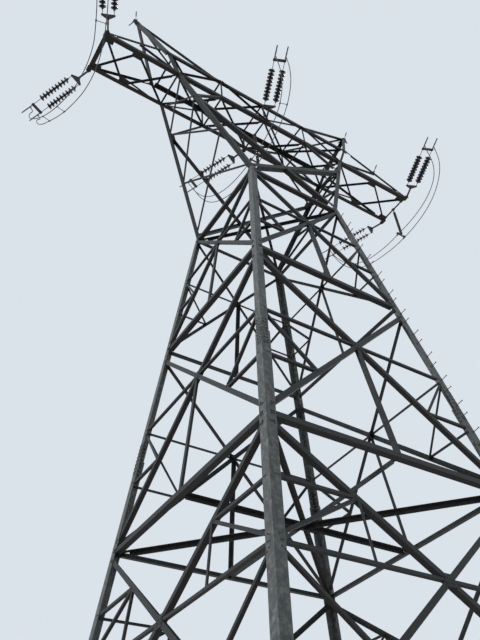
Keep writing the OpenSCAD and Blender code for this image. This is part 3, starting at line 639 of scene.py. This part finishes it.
def chordBolts(side):
    t, rows, thick = tower, bridgeRows, tower["braceThick"]
    face = faceFrame(side, boxHalf, 0, 0)
    low, high = rows["upright"]
    uprights = product((-t["innerX"], 0, t["innerX"]), (armZ + low, armZ + high, topZ - high, topZ - low))
    made = [boltAt(face, x, z, 0, chordGrip, light) for x, z in uprights]
    for m in (-1, 1):
        root, foot = ((x, armZ + rows["footRise"]) for x in (m * (t["armRootX"] - rows["rootInset"]), 0))
        head = (m * t["innerX"], topZ - rows["headDrop"])
        made += boltsAtEnds(face, root, head, 0, *rows["diagonal"])
        made += boltsAtEnds(face, head, foot, 0, *rows["diagonal"])
        for dx, z in product(rows["crownX"], rows["crownZ"]):
            made.append(boltAt(face, m * (t["topRootX"] + dx), topZ - z, 0, chordGrip * 2))
        for dx, z in product(rows["rootX"], rows["rootZ"]):
            made.append(boltAt(face, m * (t["armRootX"] + dx), armZ + z, 0, chordGrip))
        # The back face sees the arms the other way round
        reach = t["rightReach"] if (m > 0) == (side == 0) else t["leftReach"]
        tip = (m * (reach - rows["tipInset"]), armZ + rows["tieZ"])
        crown = (m * t["topRootX"], topZ - rows["tieZ"])
        rest = (m * (t["armRootX"] + rows["restOut"]), armZ + rows["tieZ"])
        middle = ((tip[0] + crown[0]) / 2, (tip[1] + crown[1]) / 2)
        made += boltsAtEnds(face, tip, crown, thick, *rows["tie"])
        made += boltsAlong(face, middle, rest, thick, *rows["strut"])
        made += boltsAlong(face, rest, middle, rows["strutThick"], *rows["strutFoot"])
    return made


# Bridge roof: its bars hang under the flat flanges of the top chords
roofRows = {"inset": 0.260, "y": (0.620, 0.655), "grip": 0.020, "size": 0.6}


def roofBolts():
    r, inner = roofRows, tower["innerX"]
    outer = tower["topRootX"] - r["inset"]
    places = product((-outer, outer, -inner, inner, 0), (-1, 1), r["y"])
    return [boltUnder(x, s * y, topZ - chordGrip, r["grip"], r["size"]) for x, s, y in places]


addPiece("floorBolts", floorBolts(), boltSteel)
addPiece("chordBolts", chordBolts(0) + chordBolts(2), boltSteel)
addPiece("roofBolts", roofBolts(), boltSteel)

# Peaks: two legs and two stays from the top chords to each apex
peaks = {
    "apexDrop": 0.120, "footDrop": 0.040, "apart": 0.020, "grip": 0.020,
    "legX": (0.045, 0.105), "legStart": (0.110, 0.190), "legEnd": (0.200, 0.130, 0.060),
    "stayX": 0.050, "stayStart": (0.110, 0.170), "stayEnd": (0.120, 0.060), "stayInset": 0.060,
}


def barFrame(p, q, s):  # Y along the bar, Z out of its flange on the side of s
    start, outward = Vector(p), Vector((0, s, 0.3))
    along = (Vector(q) - start).normalized()
    outward = (outward - along * outward.dot(along)).normalized()
    axes = Matrix((along.cross(outward), along, outward)).transposed().to_4x4()
    axes.translation = start
    return axes, (Vector(q) - start).length


def peakBolts(m):
    k, t = peaks, tower
    y0, footZ = boxHalf - t["chordThick"], topZ - k["footDrop"]
    apex = Vector((m * t["peakX"], 0, peakZ - k["apexDrop"]))
    made = []
    for s in (-1, 1):
        end = apex + Vector((0, s * k["apart"], 0))
        leg, length = barFrame((m * t["topRootX"], s * y0, footZ), end, s)
        rows = k["legStart"] + tuple(length - back for back in k["legEnd"])
        made += [boltAt(leg, m * s * x, along, 0, k["grip"]) for along, x in product(rows, k["legX"])]
        end = apex + Vector((-m * k["stayInset"], s * k["apart"], -k["stayInset"]))
        stay, length = barFrame((m * t["innerX"], s * (y0 - k["apart"]), footZ), end, s)
        rows = k["stayStart"] + tuple(length - back for back in k["stayEnd"])
        made += [boltAt(stay, m * s * k["stayX"], along, 0, k["grip"], light) for along in rows]
    return made


addPiece("peakBolts", peakBolts(-1) + peakBolts(1), boltSteel)

# Step bolts up the front flange of the front right leg, near its outer and inner edge by turns
steps = {"rise": 0.42, "first": 3.21, "last": 19.8, "reach": 0.175, "radius": 0.010, "insets": (0.040, 0.155)}


def stepBolt(reach, radius):
    return joined([
        lathe([(radius, 0), (radius, reach)], 10),
        lathe([(radius * 2.0, reach), (radius * 2.0, reach + 0.008), (radius * 1.6, reach + 0.012)], 12),
        prism(regular(6, radius * 2.2), 0, 0.018),
        prism(regular(6, radius * 2.2, 0.4), -0.036, -0.016),
    ])


def stepBolts(side, m):
    face = faceFrame(side, baseHalf, 0, bodyLean)
    made = []
    for i in range(int((steps["last"] - steps["first"]) / steps["rise"]) + 1):
        z = steps["first"] + i * steps["rise"]
        x = m * (bodyHalf(z) - steps["insets"][i % 2])
        made.append(moved(stepBolt(steps["reach"], steps["radius"]), face @ at(x, slope(z, bodyLean), 0)))
    return made


addPiece("stepBolts", stepBolts(0, 1), boltSteel, 30)

# Foundation bolts stand through the base plates, each with a square washer, a nut and a lock nut
anchorStack = [
    prism(rectangle(-0.045, -0.045, 0.045, 0.045), 0, 0.012),
    prism(regular(6, 0.040, 0.2), 0.012, 0.046),
    prism(regular(6, 0.040, 0.5), 0.048, 0.068),
    lathe([(0.021, -0.039), (0.021, 0.118), (0.018, 0.122)], 20),
]


def anchorBolts():
    foot, gap = baseHalf - tower["footInset"], tower["anchorGap"] / 2
    made = []
    for fx, fy, bx, by in product((-1, 1), repeat=4):
        spot = at(fx * foot + bx * gap, fy * foot + by * gap, tower["plateThick"])
        made += [moved(shape, spot) for shape in anchorStack]
    return made


addPiece("anchorBolts", anchorBolts(), boltSteel, 40)
print("bolts made")

# Strain sets: what hangs from each lug, along its own X axis towards the line, in metres
strain = {
    "twinGap": 0.400, "discs": 9, "pitch": 0.146, "stringStart": 0.760,
    "turn": {"front": 23, "back": 26}, "sag": {"front": 2.0, "back": 6.5},
    "lugY": boxHalf + 0.104, "lugThick": 0.020, "lugIn": 0.060,
    "yokeNear": 0.500, "yokeDeep": 0.110, "yokeThick": 0.016, "yokeEdge": 0.050,
    "rod": 0.012, "farRod": 0.330, "clevisHalf": 0.035, "clevisSide": 0.024,
    "clampLap": 0.015, "clampLength": 0.520, "clampRadius": 0.024, "gripLength": 0.160, "gripRadius": 0.0155,
}
stringEnd = strain["stringStart"] + strain["discs"] * strain["pitch"]
yokeFar = stringEnd + strain["farRod"]
clampStart = yokeFar + strain["yokeDeep"] - strain["clampLap"]
toward = {"front": -1, "back": 1}
phaseX = {"left": strain["lugIn"] - tower["leftReach"], "middle": 0.0,
          "right": tower["rightReach"] - strain["lugIn"]}


# A disc's turned parts, from rows of radius and distance along the string in millimetres
def turnedPart(profile, segments):
    return lathe([(r / 1000, z / 1000) for r, z in profile], segments)


discCap = turnedPart([(16, -4), (31, -4), (35, 2), (36, 18), (46, 32), (49, 50), (49, 60), (43, 64)], 24)
discShed = turnedPart([(40, 60), (60, 63), (84, 70), (106, 80), (121, 90), (127, 97), (126, 102), (121, 103),
                       (113, 93), (108, 91), (104, 106), (99, 107), (95, 88), (85, 84), (81, 102), (76, 103),
                       (72, 82), (61, 79), (57, 96), (52, 97), (48, 76), (28, 74)], 40)
discPin = turnedPart([(12, 72), (12, 132), (17, 138), (17, 145)], 10)


def lineAxis(place, way, piece):  # X out along the line, turned and dipped as it runs
    turned = Matrix.Rotation(radians(toward[way] * (90 + piece["turn"][way])), 4, "Z")
    return at(*place) @ turned @ Matrix.Rotation(radians(piece["sag"][way]), 4, "Y")


alongX = Matrix.Rotation(pi / 2, 4, "Y")  # stands a lathed shape's Z along X


def roundedPlate(points, radius, low, high, steps=5):
    outline = []
    for i, corner in enumerate(points):
        c = Vector(corner)
        before = (Vector(points[i - 1]) - c).normalized()
        after = (Vector(points[(i + 1) % len(points)]) - c).normalized()
        half = before.angle(after) / 2
        centre = c + (before + after).normalized() * (radius / sin(half))
        a, b = (c + edge * (radius / tan(half)) - centre for edge in (before, after))
        # slerp gives unit vectors
        outline += [tuple(centre + a.slerp(b, k / steps) * radius) for k in range(steps + 1)]
    return prism(outline, low, high)


def discPlaces(m):
    starts = [strain["stringStart"] + i * strain["pitch"] for i in range(strain["discs"])]
    return [at(start, m * strain["twinGap"] / 2, 0) @ alongX for start in starts]


def strainMetal(axis):
    s, half, thick = strain, strain["twinGap"] / 2, strain["yokeThick"] / 2
    near, deep, edge = s["yokeNear"], s["yokeDeep"], s["yokeEdge"]
    strap = rectangle(-0.03, -0.03, near - 0.01, 0.03)
    yoke = [(near - 0.07, -edge), (near + edge, -half - edge), (near + deep, -half - edge),
            (near + deep, half + edge), (near + edge, half + edge), (near - 0.07, edge)]
    shapes = [
        roundedPlate(strap, 0.028, -0.025, -0.015),
        roundedPlate(strap, 0.028, 0.015, 0.025),
        roundedPlate(yoke, 0.022, -thick, thick),
        roundedPlate(rectangle(yokeFar, -half - edge, yokeFar + deep, half + edge), 0.030, -thick, thick),
        moved(hexBolt(0.066, 1.1), at(0, 0, 0.033)),
        moved(hexBolt(0.050), at(near - 0.04, 0, 0.025)),
    ]
    ear, side, rod = s["clevisHalf"], s["clevisSide"], s["rod"]
    rods = ((near + deep - 0.05, s["stringStart"]), (stringEnd - 0.01, yokeFar + 0.06))
    for m in (-1, 1):
        y = m * half
        for low, high in rods:
            shapes.append(moved(lathe([(rod, low), (rod, high)], 12), at(0, y, 0) @ alongX))
        for x in (near + deep - ear, yokeFar + ear):
            clevis = rectangle(x - ear, y - side, x + ear, y + side)
            shapes += [roundedPlate(clevis, 0.020, low, low + 0.010) for low in (-0.020, 0.010)]
            shapes.append(moved(hexBolt(0.040, 0.8), at(x, y, 0.020)))
        for disc in discPlaces(m):
            shapes += [moved(discCap, disc), moved(discPin, disc)]
    return [moved(shape, axis) for shape in shapes]


def strainPorcelain(axis):
    return [moved(discShed, axis @ disc) for m in (-1, 1) for disc in discPlaces(m)]


def strainClamps(axis):
    s = strain
    wide, mouth, grip = s["clampRadius"], s["clampLength"], s["gripRadius"]
    body = lathe([(0.010, 0), (0.020, 0), (wide, 0.02), (wide, 0.20), (0.027, 0.21), (0.027, 0.30),
                  (wide, 0.31), (wide, mouth - 0.04), (0.021, mouth), (grip, mouth),
                  (grip, mouth - s["gripLength"])], 24)
    lines = [at(clampStart, m * s["twinGap"] / 2, 0) @ alongX for m in (-1, 1)]
    return [moved(moved(body, line), axis) for line in lines]


for phase, way in product(phaseX, toward):
    title = phase.capitalize() + way.capitalize()
    lug = (phaseX[phase], toward[way] * strain["lugY"], armZ - strain["lugThick"] / 2)
    axis = lineAxis(lug, way, strain)
    sheds = addPiece("discs" + title, strainPorcelain(axis), brownPorcelain, 35)
    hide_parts("strain_set_" + phase + "_" + way)
    addPiece("fittings" + title, strainMetal(axis), ironWork, 35)
    addPiece("clamps" + title, strainClamps(axis), clampAluminium, 35)
print("strain sets made")

# Jumper routes from front to back in metres, from the lug line of the phase and the bottom chords. All
# outer cables share their Y, all inner ones theirs, and the two of the middle and right phase their Z.
routeY = {
    "outer":
        (-3.165, -3.14, -3.095, -3.01, -2.88, -2.69, -2.42, -2.06, -1.62, -1.13, -0.58, 0.0, 0.58, 1.13,
         1.61, 2.02, 2.36, 2.63, 2.82, 2.95, 3.03, 3.065, 3.085),
    "inner":
        (-3.32, -3.295, -3.245, -3.16, -3.02, -2.81, -2.52, -2.14, -1.68, -1.17, -0.6, 0.0, 0.6, 1.17, 1.67,
         2.11, 2.47, 2.76, 2.97, 3.11, 3.2, 3.24, 3.26),
}
routeX = {
    ("left", "outer"):
        (-1.14, -1.09, -1.11, -1.15, -1.14, -1.08, -0.96, -0.8, -0.63, -0.47, -0.385, -0.365, -0.4, -0.51,
         -0.64, -0.78, -0.93, -1.08, -1.21, -1.27, -1.26, -1.205, -1.255),
    ("left", "inner"):
        (-0.775, -0.725, -0.745, -0.79, -0.81, -0.76, -0.625, -0.47, -0.315, -0.175, -0.07, -0.04, -0.08,
         -0.2, -0.34, -0.505, -0.65, -0.765, -0.87, -0.94, -0.93, -0.845, -0.895),
    ("middle", "outer"):
        (-1.14, -1.09, -1.005, -0.905, -0.8, -0.69, -0.585, -0.49, -0.415, -0.365, -0.33, -0.32, -0.33,
         -0.375, -0.445, -0.54, -0.645, -0.76, -0.89, -1.005, -1.115, -1.205, -1.255),
    ("middle", "inner"):
        (-0.775, -0.725, -0.66, -0.585, -0.5, -0.415, -0.325, -0.235, -0.15, -0.08, -0.04, -0.02, -0.03,
         -0.065, -0.135, -0.225, -0.325, -0.435, -0.55, -0.66, -0.76, -0.845, -0.895),
    ("right", "outer"):
        (-1.14, -1.09, -0.96, -0.8, -0.665, -0.565, -0.485, -0.415, -0.355, -0.31, -0.285, -0.28, -0.29,
         -0.345, -0.415, -0.51, -0.62, -0.745, -0.875, -1.0, -1.115, -1.205, -1.255),
    ("right", "inner"):
        (-0.775, -0.725, -0.64, -0.555, -0.475, -0.39, -0.295, -0.19, -0.09, -0.01, 0.05, 0.08, 0.05, -0.03,
         -0.11, -0.205, -0.31, -0.42, -0.545, -0.66, -0.76, -0.845, -0.895),
}
# Left and middle go down alike at the front
frontZ = (-0.23, -0.33, -0.5, -0.74, -1.0, -1.25, -1.48, -1.67, -1.81, -1.9, -1.95, -1.98, -2.0, -1.99)
routeZ = {
    ("left", "outer"): frontZ + (-1.95, -1.88, -1.78, -1.64, -1.46, -1.2, -0.87, -0.535, -0.435),
    ("left", "inner"): frontZ + (-1.94, -1.84, -1.69, -1.54, -1.35, -1.06, -0.76, -0.535, -0.435),
    "middle": frontZ + (-1.94, -1.84, -1.69, -1.49, -1.24, -0.98, -0.73, -0.535, -0.435),
    "right":
        (-0.23, -0.33, -0.5, -0.73, -0.98, -1.21, -1.42, -1.6, -1.73, -1.81, -1.85, -1.86, -1.88, -1.88,
         -1.84, -1.76, -1.62, -1.43, -1.2, -0.95, -0.715, -0.535, -0.435),
}


def placedRoute(phase, which):
    hung = Vector((phaseX[phase], 0, armZ))
    key = (phase, which)
    rowZ = routeZ[key if key in routeZ else phase]
    return [Vector(point) + hung for point in zip(routeX[key], routeY[which], rowZ)]


jumperRoutes = {phase: {which: placedRoute(phase, which) for which in routeY} for phase in phaseX}
jumper = {
    "radius": 0.015, "sides": 16, "steps": 10,
    "sleeveRadius": 0.020, "sleeve": 0.065, "tail": 0.150,
    "tongueHalf": 0.034, "tongues": ((-0.008, 0.0), (0.001, 0.009)),
    "collarRadius": 0.027, "collarHalf": 0.045,
    "spacers": {"left": (7.65, 14.0, 15.85), "middle": (6.3,)},  # places along the route's points
}


# Direction of a route at one of its points, where the nearer neighbour weighs more
def heading(points, i):
    near, far = points[i] - points[max(i - 1, 0)], points[min(i + 1, len(points) - 1)] - points[i]
    if near.length == 0 or far.length == 0:
        return (near + far).normalized()
    return (near / near.length ** 2 + far / far.length ** 2).normalized()


def curvePoint(points, place):  # smooth curve through the points of a route
    i = min(int(place), len(points) - 2)
    t = place - i
    b, c = points[i], points[i + 1]
    span = (c - b).length
    out, back = heading(points, i) * span, heading(points, i + 1) * span
    return (b * (1 - 3 * t * t + 2 * t ** 3) + c * (3 * t * t - 2 * t ** 3)
            + out * (t - 2 * t * t + t ** 3) + back * (t ** 3 - t * t))


def addJumper(phase, which, route):
    j = jumper
    points = [curvePoint(route, i / j["steps"]) for i in range((len(route) - 1) * j["steps"] + 1)]
    corners, faces = tube(points, j["radius"], j["sides"])
    mesh = makeMesh("jumper", corners, faces, cableAluminium, 50)
    along = [0.0]
    for a, b in zip(points, points[1:]):
        along.append(along[-1] + (b - a).length)
    layer = mesh.uv_layers.new(name="along")
    for face in mesh.polygons:
        for k, loop in enumerate(face.loop_indices):
            ring, around = divmod(mesh.loops[loop].vertex_index, j["sides"])
            seam = len(face.vertices) == 4 and around == 0 and k in (1, 2)  # last side closes the round
            layer.data[loop].uv = (around / j["sides"] + seam, along[ring])
    cable = addObject("jumper" + phase.capitalize() + which.capitalize(), mesh)
    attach(cable, rootBody)
    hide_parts("jumper_" + phase + "_" + which)
    print("made", cable.name, round(along[-1], 2), "m")


def standAlong(place, way):  # Z along the way
    return Matrix.Translation(place) @ way.to_track_quat("Z", "Y").to_matrix().to_4x4()


# A jumper's end: a pressed sleeve and a flat tongue, bolted to its fellow on the clamp
def jumperTail(end, away):
    j, half, reach = jumper, jumper["tongueHalf"], jumper["sleeve"]
    sleeve = lathe([(0.0155, 0), (0.019, 0.002), (j["sleeveRadius"], 0.008), (j["sleeveRadius"], reach),
                    (0.014, reach + 0.012)], 20)
    tongue = [(reach - 0.010, -half * 0.6), (reach + 0.010, -half), (j["tail"], -half),
              (j["tail"], half), (reach + 0.010, half), (reach - 0.010, half * 0.6)]
    flat = Matrix.Rotation(-pi / 2, 4, "Y")
    shapes = [sleeve] + [moved(roundedPlate(tongue, 0.008, *span), flat) for span in j["tongues"]]
    for x, y in product((reach + 0.025, reach + 0.060), (-0.017, 0.017)):
        shapes.append(moved(hexBolt(0.017, 0.42), flat @ at(x, y, 0.009)))
    return [moved(shape, standAlong(end, away)) for shape in shapes]


def collar(place, way, stretch=1.0):  # two halves pressed round a cable
    r, half = jumper["collarRadius"], jumper["collarHalf"] * stretch
    body = lathe([(0.0155, -half), (0.021, -half), (r, -half * 0.75), (r, half * 0.75), (0.021, half),
                  (0.0155, half)], 16)
    return moved(body, standAlong(place, way))


def jumperFittings(phase, routes):
    shapes = []
    for route in routes:
        for end, before in ((route[0], route[1]), (route[-1], route[-2])):
            shapes += jumperTail(end, (end - before).normalized())
    for place in jumper["spacers"].get(phase, ()):
        spots = [curvePoint(route, place) for route in routes]
        ways = [(curvePoint(route, place + 0.1) - spot).normalized() for route, spot in zip(routes, spots)]
        shapes += [collar(spot, way) for spot, way in zip(spots, ways)] + [tube(spots, 0.012, 12)]
        for spot, way in zip(spots, ways):
            through = standAlong(spot, way.cross(spots[1] - spots[0]).normalized())
            shapes.append(moved(hexBolt(0.050, 0.4), through @ at(0, 0, 0.026)))
    return shapes


for phase, pair in jumperRoutes.items():
    for which, route in pair.items():
        addJumper(phase, which, route)
    fittings = jumperFittings(phase, list(pair.values()))
    addPiece("jumperFittings" + phase.capitalize(), fittings, clampAluminium, 35)
print("jumpers made")

# Posts that hold the jumpers off the tower, under the right tip and under the middle of the bridge:
# glazed sheds on a rod, with iron at both ends and a foot bar for the two cables
post = {
    "rod": 0.022, "shedFirst": 0.150, "shedPitch": 0.066, "lastShed": 0.238,
    "capRadius": 0.033, "capLow": (0.050, 0.135), "capHigh": 0.109, "seatHalf": 0.060, "seatThick": 0.016,
    "barHalf": 0.025, "barLow": 0.004, "barHigh": 0.060,
    "routePlace": 11, "stirrupY": 0.034, "stirrupRadius": 0.031, "stirrupTop": 0.100, "strapZ": 0.080,
}
postPlaces = {
    "right": {"x": tower["rightReach"] - 0.100, "length": 1.840, "bar": (-0.270, 0.150)},
    "middle": {"x": 0.0, "length": 1.960, "bar": (-0.380, 0.060)},
}
postShed = [(0.022, 0.004), (0.040, 0.000), (0.056, -0.002), (0.0595, 0.000), (0.060, 0.003), (0.057, 0.007),
            (0.040, 0.015), (0.027, 0.024), (0.022, 0.034)]


def postStand(place):
    return at(place["x"], 0, armZ - place["length"])


def postGlazed(place):
    profile = [(post["rod"], post["capLow"][1] - 0.02)]
    start = post["shedFirst"]
    while start < place["length"] - post["lastShed"] + post["shedPitch"]:
        profile += [(r, start + z) for r, z in postShed]
        start += post["shedPitch"]
    profile.append((post["rod"], place["length"] - post["capHigh"]))
    return moved(lathe(profile, 32), postStand(place))


def postIron(place):
    p, r, top = post, post["capRadius"], place["length"]
    seat, seatZ = p["seatHalf"], top - p["seatThick"]
    shapes = [lathe([(p["rod"], low), (r * 0.85, low), (r, low + 0.012), (r, high - 0.012), (r * 0.85, high),
                     (p["rod"], high)], 24) for low, high in (p["capLow"], (top - p["capHigh"], seatZ))]
    shapes.append(roundedPlate(rectangle(-seat, -seat, seat, seat), 0.012, seatZ, top + tower["chordThick"]))
    for x, y in product((-0.022, 0.022), (-0.042, 0.042)):
        shapes.append(moved(hexBolt(0.036, 0.5), at(x, y, seatZ) @ Matrix.Rotation(pi, 4, "X")))
    side = rectangle(-p["barHalf"], p["barLow"], p["barHalf"], p["barHigh"])
    bar = roundedPlate(side, 0.008, *place["bar"])
    shapes.append(moved(bar, Matrix(((0, 0, 1, 0), (1, 0, 0, 0), (0, 1, 0, 0), (0, 0, 0, 1)))))
    return [moved(shape, postStand(place)) for shape in shapes]


# Clamps on the foot bar: a long collar on each cable, held up by a pair of threaded stirrups
def postClamps(phase):
    p, r, place = post, post["stirrupRadius"], post["routePlace"]
    top = Vector((0, 0, p["stirrupTop"]))
    strap = roundedPlate(rectangle(-0.045, -0.045, 0.045, 0.045), 0.010, 0, 0.006)
    nut = prism(regular(6, 0.011), -0.014, -0.004)
    shapes = []
    for route in jumperRoutes[phase].values():
        spot = curvePoint(route, place)
        way = (curvePoint(route, place + 0.1) - curvePoint(route, place - 0.1)).normalized()
        shapes.append(collar(spot, way, 2.0))
        for y in (-p["stirrupY"], p["stirrupY"]):
            bend = [spot + Vector((r * cos(pi * k / 8), y, -r * sin(pi * k / 8))) for k in range(9)]
            ends = (bend[0] + top, bend[-1] + top)
            shapes.append(tube([ends[0]] + bend + [ends[1]], 0.005, 8))
            shapes += [moved(nut, Matrix.Translation(end)) for end in ends]
        shapes.append(moved(strap, Matrix.Translation(spot + Vector((0, 0, p["strapZ"])))))
    return shapes


for phase, place in postPlaces.items():
    title = phase.capitalize()
    glazed = addPiece("postGlazed" + title, [postGlazed(place)], postPorcelain, 40)
    if phase == "right":
        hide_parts("jumper_post")
    addPiece("postIron" + title, postIron(place) + postClamps(phase), ironWork, 35)
print("posts made")

# Earth wire fittings: at each peak a shackle through the plate's hole and a bolted clamp each way
earth = {
    "holeDrop": 0.060, "rod": 0.010, "bow": 0.055, "bowHalf": 0.020,
    "linkEnd": 0.150, "clampEnd": 0.370, "clampRadius": 0.021,
    "turn": {"front": 23, "back": 26}, "sag": {"front": 3.0, "back": 6.0},
    "tieSpot": (5.755, 26.480), "tieOut": 0.040, "tieTurn": -0.345, "tieSlope": -0.36,
}


def earthFitting(place, way):
    e, half = earth, earth["bowHalf"]
    low, high, wide = e["linkEnd"], e["clampEnd"], e["clampRadius"]
    bow = [(-0.012, 0, -half), (0.020, 0, -half)]
    bow += [(0.020 + e["bow"] * sin(pi * k / 8), 0, -half * cos(pi * k / 8)) for k in range(1, 8)]
    bow += [(0.020, 0, half), (-0.012, 0, half)]
    link = roundedPlate(rectangle(0.045, -0.022, low + 0.030, 0.022), 0.018, -0.005, 0.005)
    body = lathe([(0.008, low - 0.010), (0.016, low), (wide, low + 0.030), (wide, high - 0.050),
                  (0.012, high), (0.007, high), (0.007, high - 0.040)], 16)
    shapes = [
        tube([Vector(p) for p in bow], e["rod"], 10),
        moved(link, Matrix.Rotation(pi / 2, 4, "X")),
        moved(body, alongX),
    ]
    shapes += [moved(hexBolt(0.044, 0.42), at(low + x, 0, 0.022)) for x in (0.050, 0.100, 0.150)]
    return [moved(shape, lineAxis(place, way, e)) for shape in shapes]


def earthFittings():
    e, shapes = earth, []
    for m, way in product((-1, 1), toward):
        shapes += earthFitting((m * tower["peakX"], 0, peakZ - e["holeDrop"]), way)
    # One more wire is made off on the front tie of the right arm, on a small lug bolted to the tie
    x, z = e["tieSpot"]
    y = -boxHalf - tower["braceThick"]
    shapes += earthFitting((x, y - e["tieOut"], z), "front")
    lug = roundedPlate(rectangle(-0.035, -0.075, 0.035, 0.010), 0.015, -0.006, 0.006)
    foot = roundedPlate(rectangle(-0.080, -0.030, 0.080, 0.030), 0.010, 0, 0.008)
    onTie = faceFrame(0, -y, 0, 0) @ at(x, z, 0)
    shapes += [moved(lug, at(x, y, z)), moved(foot, onTie @ Matrix.Rotation(e["tieTurn"], 4, "Z"))]
    for along in (-0.055, 0.055):
        shapes.append(moved(hexBolt(0.016, 0.6), onTie @ at(along, e["tieSlope"] * along, 0.008)))
    return shapes


addPiece("earthFittings", earthFittings(), ironWork, 35)
print("earth wire fittings made")

# Plain studio: pale floor, soft light from all round and a broad lamp high on the left
studio = {
    "floorSize": 400.0, "floorColour": "#d9dcdd", "backdrop": "#dbe3ea",
    "fill": 0.42, "fillColour": "#f2f5f8", "sunStrength": 2.2, "sunWidth": 8.0,
    "sunFrom": (-0.80, -0.10, 0.62),
}


def makeStudio(s):
    reach = s["floorSize"] / 2
    corners = np.array([(x, y, 0) for x, y in rectangle(-reach, -reach, reach, reach)])
    material = startMaterial("matt floor")[0]
    endMaterial(material, {"Base Color": linear(s["floorColour"]), "Roughness": 0.9})
    floor = addObject("floor", makeMesh("floor", corners, [(0, 1, 2, 3)], material))
    scene.world = bpy.data.worlds.new("studio")
    add = startNodes(scene.world)
    light = add("Background", {"Color": linear(s["fillColour"]), "Strength": s["fill"]})
    seen = add("Background", {"Color": linear(s["backdrop"]), "Strength": 1.0})
    rays = add("LightPath").outputs
    direct = rays["Is Camera Ray"]
    for ray in ("Is Transmission Ray", "Is Glossy Ray"):
        direct = add("Math", {0: direct, 1: rays[ray]}, {"operation": "MAXIMUM"})
    add("OutputWorld", {"Surface": add("MixShader", {0: direct, 1: light, 2: seen})})
    lamp = bpy.data.lights.new("key", "SUN")
    lamp.energy = s["sunStrength"]
    lamp.angle = radians(s["sunWidth"])
    key = addObject("key", lamp)
    key.rotation_euler = Vector(s["sunFrom"]).to_track_quat("Z", "Y").to_euler()
    scene.view_settings.view_transform = "Standard"


makeStudio(studio)
print("studio made")
